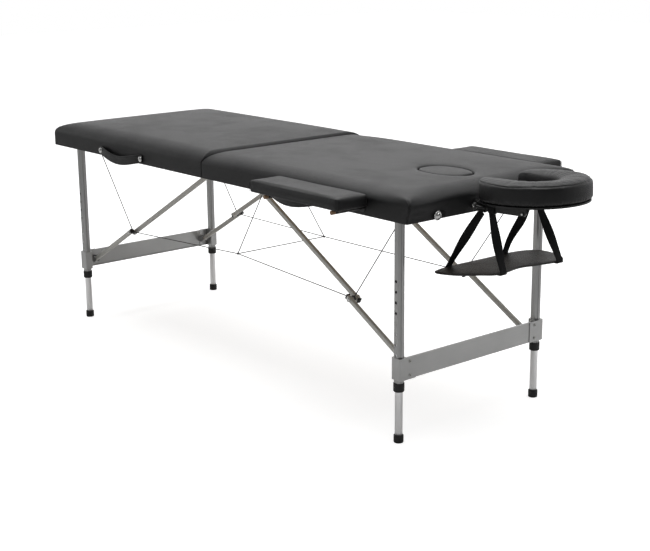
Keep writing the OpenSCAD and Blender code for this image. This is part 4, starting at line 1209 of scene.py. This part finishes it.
# %% Latch boss
LATCH_X, LATCH_Y, LATCH_Z = HALF_LENGTH + 0.0024, 0.231, 0.656
LOBES, LOBE_CUT, CORE_CUT = 12, 0.0016, 0.0012
BOSS = ((0.0115, 0.0, 0.2), (0.0132, 0.0006, 0.8), (0.0138, 0.0022, 1.0), (0.0134, 0.0040, 1.0),
        (0.0120, 0.0052, 0.6), (0.0102, 0.0050, 0.2), (0.0094, 0.0040, 0.0), (0.0080, 0.0042, 0.0),
        (0.0072, 0.0066, 0.5), (0.0056, 0.0082, 0.7), (0.0030, 0.0088, 0.0))


def latch_boss(name, side):
    """Profile rows are radius, height and how deep the lobes are cut; the core has three lobes."""
    loops = []
    for r, h, cut in BOSS:
        loop = []
        for w in turns(96):
            wave = 0.5 + 0.5 * math.cos(LOBES * w)
            core_wave = 0.5 + 0.5 * math.cos(3 * w)
            radius = r - LOBE_CUT * cut * wave if r > 0.008 else r - CORE_CUT * cut * core_wave
            loop.append(Vector((LATCH_X + h, side * LATCH_Y + radius * math.cos(w),
                                LATCH_Z + radius * math.sin(w))))
        loops.append(loop)
    return skin(name, loops)


for side_name, side in SIDES.items():
    dress(latch_boss(f"{side_name} case latch boss", side), f"{side_name}_latch_hook", "bright plating",
          [f"{side_name}_latch"])
print("bosses with", LOBES, "lobes")

# %% Latch hook
HOOK_BACK, HOOK_FRONT, HOOK_TOP = 0.0004, 0.0030, 0.0090


def hook_part(side, start, stop, bottom):
    """A rounded box between two distances from the latch's middle, on the table's inner side."""
    near, far = sorted((side * LATCH_Y - side * start, side * LATCH_Y - side * stop))
    return soft_box("hook part", (LATCH_X + HOOK_BACK, near, LATCH_Z + bottom),
                    (LATCH_X + HOOK_FRONT, far, LATCH_Z + HOOK_TOP), 0.0008)


for side_name, side in SIDES.items():
    parts = [hook_part(side, 0.004, 0.027, 0.0036), hook_part(side, 0.0255, 0.0305, -0.0060)]
    dress(join(f"{side_name} case latch hook", parts), f"{side_name}_latch_hook", "blackened steel")
print("hooks", round(HOOK_FRONT - HOOK_BACK, 4), "thick")

# %% [markdown]
# ## Padding by cloth simulation
# The armrest and face cradle pads are small and plump, so their covers show real tension.
# Sculpting by hand could show it too, but a simulation finds the tension by itself. Each pad
# starts as a slightly small closed form, is remeshed to even cells and blown up a little as cloth
# from inside. The travel of each point is capped so that the pad keeps its size, and the result
# is worked into the mesh.

# %% Cloth helper
CLOTH_MASS, CLOTH_STIFFNESS, CLOTH_FRAMES = 0.4, 18, 20


def inflate(obj, voxel, pressure, cap, pinned):
    """Swells a closed form as cloth under pressure; points where pinned(p) is true keep their place."""
    remesh = obj.modifiers.new("even cells", "REMESH")
    remesh.mode, remesh.voxel_size = "VOXEL", voxel
    settle(obj)
    rest = [v.co.copy() for v in obj.data.vertices]
    held = obj.vertex_groups.new(name="held")
    for v in obj.data.vertices:
        if pinned(v.co):
            held.add([v.index], 1.0, "REPLACE")
    cloth = obj.modifiers.new("cloth", "CLOTH")
    cloth.settings.use_pressure = True
    cloth.settings.uniform_pressure_force = pressure
    cloth.settings.effector_weights.gravity = 0
    cloth.settings.vertex_group_mass = "held"
    cloth.settings.quality = 5
    cloth.settings.mass = CLOTH_MASS
    cloth.settings.tension_stiffness = cloth.settings.compression_stiffness = CLOTH_STIFFNESS
    cloth.collision_settings.use_collision = False
    scene = bpy.context.scene
    for number in range(1, CLOTH_FRAMES + 1):
        scene.frame_set(number)
    settle(obj)
    scene.frame_set(1)
    for v, start in zip(obj.data.vertices, rest):
        move = v.co - start
        if move.length > cap:
            v.co = start + move * (cap / move.length)
    return smoother(obj)


print("cloth runs for", CLOTH_FRAMES, "frames in a full run")

# %% [markdown]
# ## Armrests
# Each armrest is a board with a thin foam pad, wrapped in vinyl to its underside. The corners are
# folded like a parcel, so their edges are quite sharp, with a pleat down each corner. A bevelled
# box would miss the way the vinyl hangs lower on the outer side, so the pad is a stack of rounded
# rectangles, with that skirt drawn down, and its underside is held while the cloth swells.

# %% Armrest pads
ARM_X, ARM_LONG, ARM_WIDE = 0.593, 0.384, 0.111
ARM_MIDDLE = HALF_WIDTH + 0.004 + ARM_WIDE / 2
ARM_LEVELS = [(0.012, 0.6792), (0.004, 0.6788), (0.0008, 0.6796), (0.0, 0.6816), (0.0002, 0.688),
              (0.0003, 0.696), (0.0004, 0.7030), (0.0014, 0.7062), (0.0044, 0.7082), (0.012, 0.7091),
              (0.024, 0.7096), (0.038, 0.7099)]
SKIRT_DROP, CORNER_TUCK = 0.0056, 0.0014


def skirt(x, y, z):
    """How much lower the vinyl hangs on the outer side and towards the head end."""
    place = max(ease((y - 0.374) / 0.01), ease((x - 0.63) / 0.05))
    return SKIRT_DROP * place * (1 - ease((z - 0.679) / 0.006))


def armrest_pad(name, side):
    loops = []
    for inset, z in ARM_LEVELS:
        ax, ay, r = ARM_LONG / 2 - inset, ARM_WIDE / 2 - inset, 0.006 + 0.3 * inset
        corners = [Vector((u * (ax - r * 0.3), v * (ay - r * 0.3))) for u in (-1, 1) for v in (-1, 1)]
        loop = []
        for p in half_outline(-ax, ax, ay, r, r):
            q = Vector(p)
            away = min((q - corner).length for corner in corners)
            q *= 1 - CORNER_TUCK * hump(away, 0.003) * (1 - ease((z - 0.700) / 0.006)) / q.length
            x, y = ARM_X + q.x, ARM_MIDDLE + q.y
            life = 0.0005 * noise.noise(Vector((q.x * 14, q.y * 14, z * 20 + side)))
            loop.append(Vector((x, side * y, z - skirt(x, y, z) + life * (1 if z > 0.69 else 0))))
        loops.append(loop)
    pad = skin(name, loops)
    return inflate(pad, 0.0042, 1.2, 0.0016, pinned=lambda p: p.z < 0.684)


for side_name, side in SIDES.items():
    dress(armrest_pad(f"{side_name} armrest upholstery", side), f"{side_name}_armrest", "grey vinyl",
          [f"{side_name}_armrest_pad"])
print("armrests padded", ARM_LONG, "by", ARM_WIDE)

# %% Armrest pleats, drawn as lines of painted shade
PLEAT_LOW, PLEAT_TALL, PLEAT_STEPS, PLEAT_IN = 0.6745, 0.0305, 8, 0.0016


def pleat_shade_line(x, y):
    """A dark strand down an outer corner of an armrest: painted shade of the fold line."""
    path = [Vector((x, y, PLEAT_LOW + PLEAT_TALL * i / PLEAT_STEPS)) for i in range(PLEAT_STEPS + 1)]
    return skin("pleat", carried(path, circle(0.0009, 8), side=(1, 0, 0)))


for side_name, side in SIDES.items():
    outer_y = side * (ARM_MIDDLE + ARM_WIDE / 2 - PLEAT_IN)
    # Each outer corner gets a dark thread strand, the painted shade of its fold.
    pleat_shade_lines = [pleat_shade_line(ARM_X + u * (ARM_LONG / 2 - PLEAT_IN), outer_y) for u in (-1, 1)]
    dress(join(f"{side_name} armrest pleats", pleat_shade_lines), f"{side_name}_armrest", "thread")
print("pleat_shade_lines", PLEAT_TALL, "tall")

# %% Ends of the armrest rods
ROD_PLACES, ROD_END, ROD_Z = (0.465, 0.755), 0.4505, 0.667
ROD_TIP = [(0, 0), (0.0057, 0), (0.0060, -0.0004), (0.0061, -0.006), (0.0061, -0.012)]

for side_name, side in SIDES.items():
    ends = [turned("rod end", ROD_TIP, (x, side * ROD_END, ROD_Z), (0, side, 0), 24) for x in ROD_PLACES]
    dress(join(f"{side_name} armrest rod ends", ends), f"{side_name}_armrest", "stained beech")
print("rods end at", ROD_END)

# %% [markdown]
# ## Face cradle
# The cradle pad is a horseshoe of soft foam in a dark cover. Its outer wall stands upright, a
# welt runs round its upper edge, and the hem below is gathered by elastic, so it puckers and
# draws in under the pad. A torus cut open would have a round section all along. Here one drawn
# section is carried round the horseshoe between its inner and its outer rim, swelled as cloth,
# and the welt and the gathers are pressed in afterwards, so that the cloth can't smooth them away.

# %% Rims of the horseshoe
TILT_AXIS = Vector((0.947, 0, 0.667))
CRADLE_TIP = math.radians(2.5)
CRADLE_X, CRADLE_R, GAP, PAD_END = 1.073, 0.152, 0.062, 0.946
PAD_LOW, PAD_THICK, SPREAD = 0.6863, 0.060, math.radians(145)
TIPPED = Matrix.Translation(TILT_AXIS) @ Matrix.Rotation(-CRADLE_TIP, 4, "Y") @ Matrix.Translation(-TILT_AXIS)
LEVELLED = TIPPED.inverted()


def outer_rim(t):
    w = SPREAD * (2 * t - 1)
    return Vector((CRADLE_R * math.cos(w), CRADLE_R * math.sin(w)))


def inner_rim(t):
    """Straight along both arms of the horseshoe and half round between them."""
    straight = CRADLE_X - PAD_END - 0.004
    if t < 0.25:
        return Vector((-straight * (1 - t / 0.25), -GAP))
    if t > 0.75:
        return Vector((-straight * (1 - (1 - t) / 0.25), GAP))
    w = math.pi * (t - 0.25) / 0.5 - math.pi / 2
    return Vector((GAP * math.cos(w), GAP * math.sin(w)))


print("the horseshoe is", round((outer_rim(0.5) - inner_rim(0.5)).length, 3), "wide at its middle")

# %% Cradle pad
PAD_SECTION = [(0.10, -0.02), (0.30, -0.03), (0.50, -0.03), (0.70, -0.03), (0.88, -0.02), (0.955, 0.02),
               (0.99, 0.10), (1.0, 0.25), (1.0, 0.45), (0.998, 0.62), (0.992, 0.76), (0.975, 0.86),
               (0.94, 0.925), (0.86, 0.965), (0.72, 0.99), (0.56, 1.0), (0.40, 1.0), (0.26, 0.985),
               (0.14, 0.95), (0.06, 0.89), (0.015, 0.80), (0.0, 0.66), (0.0, 0.45), (0.0, 0.22),
               (0.02, 0.06)]
PAD_STEPS, PUCKER_DEPTH = 64, 0.035


def cradle_pad():
    """Section points say how far from the inner to the outer rim, and from the hem to the top."""
    loops = []
    for i in range(PAD_STEPS + 1):
        u = i / PAD_STEPS
        end = min(1.0, min(u, 1 - u) * PAD_STEPS / 3.5)
        swell = 0.60 + 0.40 * math.sqrt(end)
        a, b = inner_rim(u), outer_rim(u)
        middle = (a + b) / 2
        loop = []
        for c, h in PAD_SECTION:
            pucker = 0.5 + 0.5 * math.sin(u * 240) + noise.noise(Vector((u * 60, 0, 2)))
            low = max(0.0, 1 - abs(h - 0.04) / 0.09) * (1 if c > 0.5 else 0.4)
            draw = 1 - PUCKER_DEPTH * low * pucker
            q = middle + (b - a) * (c - 0.5) * swell * (draw if c > 0.5 else 1)
            lift = (h - 0.5) * (swell if h > 0.5 else 1) + 0.5
            loop.append(TIPPED @ Vector((CRADLE_X + q.x, q.y, PAD_LOW + PAD_THICK * lift)))
        loops.append(loop)
    pad = skin("face cradle pad", loops)
    return inflate(pad, 0.0045, 2.0, 0.003, pinned=lambda p: (LEVELLED @ p).z < PAD_LOW + 0.004)


WELT_DEPTH, GATHER_DEPTH, HEM_DEPTH, DRAG_DEPTH = 0.0022, 0.0030, 0.0030, 0.0012


def cradle_creases(pad):
    """The welt round the upper edge, the gathered hem and a few drag lines."""
    for v in pad.data.vertices:
        p = LEVELLED @ v.co
        x, y = p.x - CRADLE_X, p.y
        r, w = math.hypot(x, y), math.atan2(y, x)
        h = (p.z - PAD_LOW) / PAD_THICK
        outward = Vector((x, y, 0)).normalized() if r > 1e-6 else Vector()
        if r > 0.11:
            wander = 0.02 * noise.noise(Vector((math.cos(w) * 2, math.sin(w) * 2, 0)))
            p -= outward * WELT_DEPTH * hump(h - 0.87 - wander, 0.028)
            gather = noise.noise(Vector((math.cos(w) * 22, math.sin(w) * 22, h * 1.5)))
            p += outward * GATHER_DEPTH * gather * hump(h - 0.06, 0.13)
            p -= outward * HEM_DEPTH * hump(h + 0.02, 0.07)
        drag = noise.noise(Vector((math.cos(w) * 9, math.sin(w) * 9, h * 3 + 5)))
        p.z += DRAG_DEPTH * drag * ease((h - 0.8) / 0.2)
        v.co = TIPPED @ p
    return pad


dress(cradle_creases(cradle_pad()), "cradle_frame", "dark vinyl", ["cradle_pad"])
print("cradle padded", PAD_THICK, "thick")

# %% [markdown]
# ## Cradle bolts and clamp
# A domed bolt holds each arm of the cradle, and a small cam lever on the near side clamps its tilt.
# Ready-made screws would bring threads that nobody sees, so the heads are turned profiles. The
# lever's blade is a flat section with cut corners, carried along a slight bend and thinned towards
# its tip.

# %% Bolts of the cradle arms
BOLT_AT = TIPPED @ Vector((1.110, 0, 0.661))
BOLT_Y = 0.0952
BOLT_HEAD = [(0, 0), (0.0044, 0), (0.0046, 0.0010), (0.0041, 0.0022), (0.0028, 0.0032), (0, 0.0035)]

bolts = []
for side in (-1, 1):
    bolts.append(turned("bolt", BOLT_HEAD, (BOLT_AT.x, side * BOLT_Y, BOLT_AT.z), (0, side, 0), 24))
dress(join("cradle arm bolts", bolts), "cradle_frame", "bright plating")
print("bolts at", [round(v, 4) for v in BOLT_AT])

# %% Clamp lever
CLAMP_Y = -0.0985
HUB = [(0, 0), (0.0078, 0), (0.0090, 0.0012), (0.0092, 0.0050), (0.0086, 0.0095), (0.0060, 0.0112),
       (0, 0.0116)]
CLAMP_SCREW = [(0, 0), (0.0036, 0), (0.0036, 0.0008), (0.0022, 0.0014), (0, 0.0014)]
BLADE = ((1, -0.6), (1, 0.6), (0.6, 1), (-0.6, 1), (-1, 0.6), (-1, -0.6), (-0.6, -1), (0.6, -1))


def clamp_blade():
    path = []
    for t in [i / 10 for i in range(11)]:
        bend = CLAMP_Y - 0.0060 - 0.0012 * math.sin(math.pi * t)
        path.append(TILT_AXIS + Vector((0.004 + 0.037 * t, bend, -0.0010 * t)))

    def section(f):
        return [(a * (0.0042 - 0.0008 * f), b * 0.0032) for a, b in BLADE]

    return smoother(skin("blade", carried(path, section, side=(0, 0, 1))))


hub = turned("hub", HUB, (TILT_AXIS.x, CLAMP_Y, TILT_AXIS.z), (0, -1, 0))
lever = join("clamp lever", [hub, clamp_blade()])
dress(lever, "tilt_lever", "black plastic", ["cradle_lever"])
screw_at = (TILT_AXIS.x, CLAMP_Y - 0.0112, TILT_AXIS.z)
clamp_screw = turned("clamp lever screw", CLAMP_SCREW, screw_at, (0, -1, 0), 20)
dress(clamp_screw, "tilt_lever", "bright plating")
print("clamp hub", HUB[-1][1], "tall")

# %% [markdown]
# ## Arm shelf
# The shelf that carries the forearms is a thin padded board with an outline like a kidney, in a
# brownish black vinyl. The outline could be a curve filled flat, but the padding needs an edge that
# rolls. So a few points are joined by a smooth closed curve, and that rim is stacked with growing
# insets, as the covers were.

# %% Shelf board
SHELF_X, SHELF_TOP, SHELF_THICK = 0.950, 0.490, 0.006
SHELF_LOW = SHELF_TOP - SHELF_THICK
SHELF_RIM_MM = [(-52, -200), (0, -180), (45, -130), (76, -84), (64, 10), (76, 72), (89, 150),
                (66, 190), (8, 210), (-42, 197), (-68, 130), (-71, 30), (-73, -90), (-68, -170)]
SHELF_LEVELS = ((0.030, 0.0004), (0.004, 0.0), (0.0012, 0.0004), (0.0, 0.002), (0.0, 0.0042),
                (0.0014, 0.0056), (0.005, 0.0066), (0.014, 0.0072), (0.030, 0.0076), (0.050, 0.0077))


def closed_curve(points, steps):
    """A smooth closed curve through the points."""
    points = [Vector(p) for p in points]
    n, out = len(points), []
    for i in range(n):
        a, b, c, d = points[i - 1], points[i], points[(i + 1) % n], points[(i + 2) % n]
        for j in range(steps):
            t = j / steps
            square, cube = 2 * a - 5 * b + 4 * c - d, 3 * b - a - 3 * c + d
            out.append(0.5 * (2 * b + (c - a) * t + square * t ** 2 + cube * t ** 3))
    return out


def shelf_board():
    rim = closed_curve([(x / 1000, y / 1000) for x, y in SHELF_RIM_MM], 8)
    loops = []
    for inset, rise in SHELF_LEVELS:
        z = SHELF_LOW + rise
        loop = []
        for p in rim:
            q = p * (1 - inset / p.length)
            life = 0.0004 * noise.noise(Vector((q.x * 30, q.y * 30, 4)))
            loop.append(Vector((SHELF_X + q.x, q.y, z + (life if z > SHELF_LOW + 0.004 else 0))))
        loops.append(loop)
    return smoother(skin("arm shelf board", loops))


dress(shelf_board(), "arm_shelf", "brown-black vinyl", ["shelf_board"])
print("shelf padded, lower side at", round(SHELF_LOW, 4))

# %% [markdown]
# ## Shelf straps
# Four webbing straps hang the shelf from the cradle's arms. Each loops round an arm, twists a
# quarter turn on its way down and wraps the edge of the board. They could hang as simulated cloth,
# but taut webbing hardly moves, and the twist is simply a section that turns as it is carried
# along. The straps are left fixed in place, on no body.

# %% Loop of a strap round an arm
STRAP_WIDE, STRAP_THICK = 0.025, 0.0016
STRAP_X = (0.965, 1.002)
STRAP_Y, STRAP_LOOP_LOW = 0.0935, 0.6520
ARM_INNER, ARM_OUTER, ARM_LOW, ARM_TOP = 0.0874, 0.0966, 0.6518, 0.6776
WEB_SHAPE = ((-1, -0.4), (-0.96, -1), (-0.5, -1), (0, -1), (0.5, -1), (0.96, -1), (1, -0.4),
             (1, 0.4), (0.96, 1), (0.5, 1), (0, 1), (-0.5, 1), (-0.96, 1), (-1, 0.4))
WEB = [(a * STRAP_WIDE / 2, b * STRAP_THICK / 2) for a, b in WEB_SHAPE]


def strap_loop(x, side):
    """The part of a strap that goes round an arm."""
    soft = 0.0025
    corners = [(ARM_OUTER - 0.003, ARM_LOW), (ARM_OUTER, ARM_LOW + soft), (ARM_OUTER, ARM_TOP - soft),
               (ARM_OUTER - soft, ARM_TOP), (ARM_INNER + soft, ARM_TOP), (ARM_INNER, ARM_TOP - soft),
               (ARM_INNER, ARM_LOW + soft), (ARM_INNER + soft, ARM_LOW)]
    path = [TIPPED @ Vector((x, side * y, z)) for y, z in corners]
    fine = closed_curve(path, 4)
    loops = carried(fine + [fine[0]], WEB, side=(1, 0, 0))
    return skin("loop", loops[:-1], ring=True)


print("webbing", STRAP_WIDE, "by", STRAP_THICK)

# %% Hanging straps
STRAP_FEET = {"near": ((0.8756, -0.129), (1.0278, -0.069)), "far": ((0.8770, 0.101), (1.0412, 0.150))}
STRAP_STEPS, STRAP_BOW, STRAP_WAVE = 24, 0.0015, 0.0045
UNDER_SHELF = ((0.0, -0.0046), (0.0018, -0.0056), (0.010, -0.0058), (0.022, -0.0058))


def hanging_strap(name, x, side, foot):
    top = TIPPED @ Vector((x, side * STRAP_Y, STRAP_LOOP_LOW))
    bottom = Vector((foot[0], foot[1], SHELF_TOP - SHELF_THICK / 2))
    back_strap = x < 0.98
    path, hints = [], []
    for i in range(STRAP_STEPS + 1):
        t = i / STRAP_STEPS
        p = top.lerp(bottom, t)
        bow = math.sin(math.pi * t)
        wave = STRAP_WAVE * math.sin(2 * math.pi * t) if back_strap and side > 0 else 0
        p += Vector((wave - STRAP_BOW * bow, side * STRAP_BOW * bow, 0))
        turn = math.radians(90) * ease(t * 1.02)
        path.append(p)
        hints.append((math.cos(turn), math.sin(turn), 0))
    under = 1 if back_strap else -1
    for dx, dz in UNDER_SHELF:
        path.append(Vector((bottom.x + under * dx, bottom.y, bottom.z + dz + 0.0008)))
        hints.append((0, hints[-1][1], 0))
    hanging = skin(name, carried(path, WEB, side=hints))
    return join(name, [hanging, strap_loop(x, side)])


for side_name, side in SIDES.items():
    for place, x, foot in zip(("back", "front"), STRAP_X, STRAP_FEET[side_name]):
        strap = hanging_strap(f"{side_name} {place} strap", x, side, foot)
        dress(strap, None, "black webbing", ["shelf_straps"])
        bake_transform(strap)
print(2 * len(STRAP_X), "straps hung")

# %% [markdown]
# ## The floor
# The picture is a catalogue shot: a pale floor that runs into white. A curved backdrop would do
# it, but its bend can show in the covers. Here a flat floor glows a little for the camera, and
# more with distance, so that it melts into the white beyond. In mirrors it hardly glows, so the
# light on the table stays at a plain level.

# %% Floor
FLOOR_TONE, FLOOR_GLOW, FAR_GLOW, MIRRORED_GLOW = 0.60, 0.76, 0.25, 0.12
GLOW_FROM, GLOW_TO = 0.9, 2.6


def set_range(node, from_min, from_max, to_min, to_max):
    node.inputs["From Min"].default_value = from_min
    node.inputs["From Max"].default_value = from_max
    node.inputs["To Min"].default_value = to_min
    node.inputs["To Max"].default_value = to_max


def make_floor():
    floor = new_object("floor", [(-14, -14, 0), (14, -14, 0), (14, 14, 0), (-14, 14, 0)], [(0, 1, 2, 3)])
    material = bpy.data.materials.new("pale floor")
    material.use_nodes = True
    tree = material.node_tree
    shader = tree.nodes["Principled BSDF"]
    shader.inputs["Base Color"].default_value = (FLOOR_TONE, FLOOR_TONE, FLOOR_TONE, 1)
    shader.inputs["Roughness"].default_value = 0.9
    shader.inputs["Specular IOR Level"].default_value = 0.1
    rays = put(tree, "ShaderNodeLightPath")
    shader.inputs["Emission Color"].default_value = (1, 1, 1, 1)
    reach = put(tree, "ShaderNodeVectorMath", operation="LENGTH")
    tree.links.new(put(tree, "ShaderNodeTexCoord").outputs["Object"], reach.inputs[0])
    far = put(tree, "ShaderNodeMapRange", interpolation_type="SMOOTHSTEP")
    tree.links.new(reach.outputs["Value"], far.inputs["Value"])
    set_range(far, GLOW_FROM, GLOW_TO, FLOOR_GLOW, FLOOR_GLOW + FAR_GLOW)
    mirrored = calc(tree, "MULTIPLY", rays.outputs["Is Glossy Ray"], MIRRORED_GLOW)
    glow = calc(tree, "MULTIPLY_ADD", rays.outputs["Is Camera Ray"], far.outputs[0], mirrored)
    tree.links.new(glow, shader.inputs["Emission Strength"])
    floor.data.materials.append(material)
    return floor


make_floor()
print("floor glows", FLOOR_GLOW, "near and", FLOOR_GLOW + FAR_GLOW, "far away")

# %% [markdown]
# ## The world
# The camera sees plain white behind the table. A picture of a studio could light it, but what the
# vinyl and the tubes mirror is easier to steer with a few numbers. The world is bright at the
# back, where the vinyl's top mirrors it at a low angle, dim on the camera's side, where the legs
# and the covers' sides mirror it, and dim overhead, so that the tops don't turn grey.

# %% World
BACK_LIGHT, FRONT_LIGHT, SKY_LIGHT = 1.00, 0.08, 0.18
SKY_FROM, SKY_TO = 0.30, 0.62


def make_world():
    world = bpy.data.worlds.new("studio")
    bpy.context.scene.world = world
    world.use_nodes = True
    tree = world.node_tree
    for node in list(tree.nodes):
        tree.nodes.remove(node)
    direction = put(tree, "ShaderNodeTexCoord").outputs["Generated"]
    away = put(tree, "ShaderNodeVectorMath", operation="DOT_PRODUCT")
    tree.links.new(direction, away.inputs[0])
    away.inputs[1].default_value = (math.cos(HEADING), math.sin(HEADING), 0)
    ramp = put(tree, "ShaderNodeMapRange", interpolation_type="SMOOTHSTEP")
    tree.links.new(away.outputs["Value"], ramp.inputs["Value"])
    set_range(ramp, -0.35, 0.65, FRONT_LIGHT, BACK_LIGHT)
    height = put(tree, "ShaderNodeSeparateXYZ")
    tree.links.new(direction, height.inputs[0])
    overhead = put(tree, "ShaderNodeMapRange", interpolation_type="SMOOTHSTEP")
    tree.links.new(height.outputs["Z"], overhead.inputs["Value"])
    set_range(overhead, SKY_FROM, SKY_TO, 0.0, 1.0)
    less = calc(tree, "SUBTRACT", SKY_LIGHT, ramp.outputs[0])
    room = calc(tree, "MULTIPLY_ADD", overhead.outputs[0], less, ramp.outputs[0])
    rays = put(tree, "ShaderNodeLightPath")
    seen = calc(tree, "MAXIMUM", rays.outputs["Is Camera Ray"], rays.outputs["Is Transmission Ray"])
    level = calc(tree, "MULTIPLY_ADD", seen, calc(tree, "SUBTRACT", 1.0, room), room)
    background = put(tree, "ShaderNodeBackground")
    background.inputs["Color"].default_value = (1, 1, 1, 1)
    tree.links.new(level, background.inputs["Strength"])
    out = put(tree, "ShaderNodeOutputWorld")
    tree.links.new(background.outputs[0], out.inputs["Surface"])


make_world()
print("world", BACK_LIGHT, "behind,", FRONT_LIGHT, "in front,", SKY_LIGHT, "overhead")

# %% [markdown]
# ## The lamps
# A catalogue table stands under a large softbox. A sun lamp would cast hard shadows of the cables,
# so all three lamps are areas: a wide one overhead for the soft pool of shadow on the floor, one
# beyond the far corner of the head end, which draws the rounded edge of that end, and a weak one
# on the near side, for the handles and the legs.

# %% Lamps
def softbox(name, at, target, size, watts):
    data = bpy.data.lights.new(name, "AREA")
    data.shape, data.size, data.size_y, data.energy = "RECTANGLE", size[0], size[1], watts
    lamp = bpy.data.objects.new(name, data)
    bpy.context.scene.collection.objects.link(lamp)
    lamp.location = at
    lamp.rotation_euler = (Vector(target) - Vector(at)).to_track_quat("-Z", "Y").to_euler()
    return lamp


softbox("overhead softbox", (0.0, 0.3, 3.4), (0, 0, 0), (4.5, 3.5), 125)
softbox("end softbox", (3.6, 2.6, 2.3), (0.93, -0.2, 0.7), (2.0, 1.2), 14)
softbox("side softbox", (1.8, -3.6, 2.2), (0.2, 0, 0.6), (2.2, 1.6), 8)

# %% [markdown]
# ## Colour
# The picture's white and black should come out as they are written. A filmic view would grey the
# white floor, so the standard view is used.

# %% View
bpy.context.scene.view_settings.view_transform = "Standard"
bpy.context.view_layer.update()
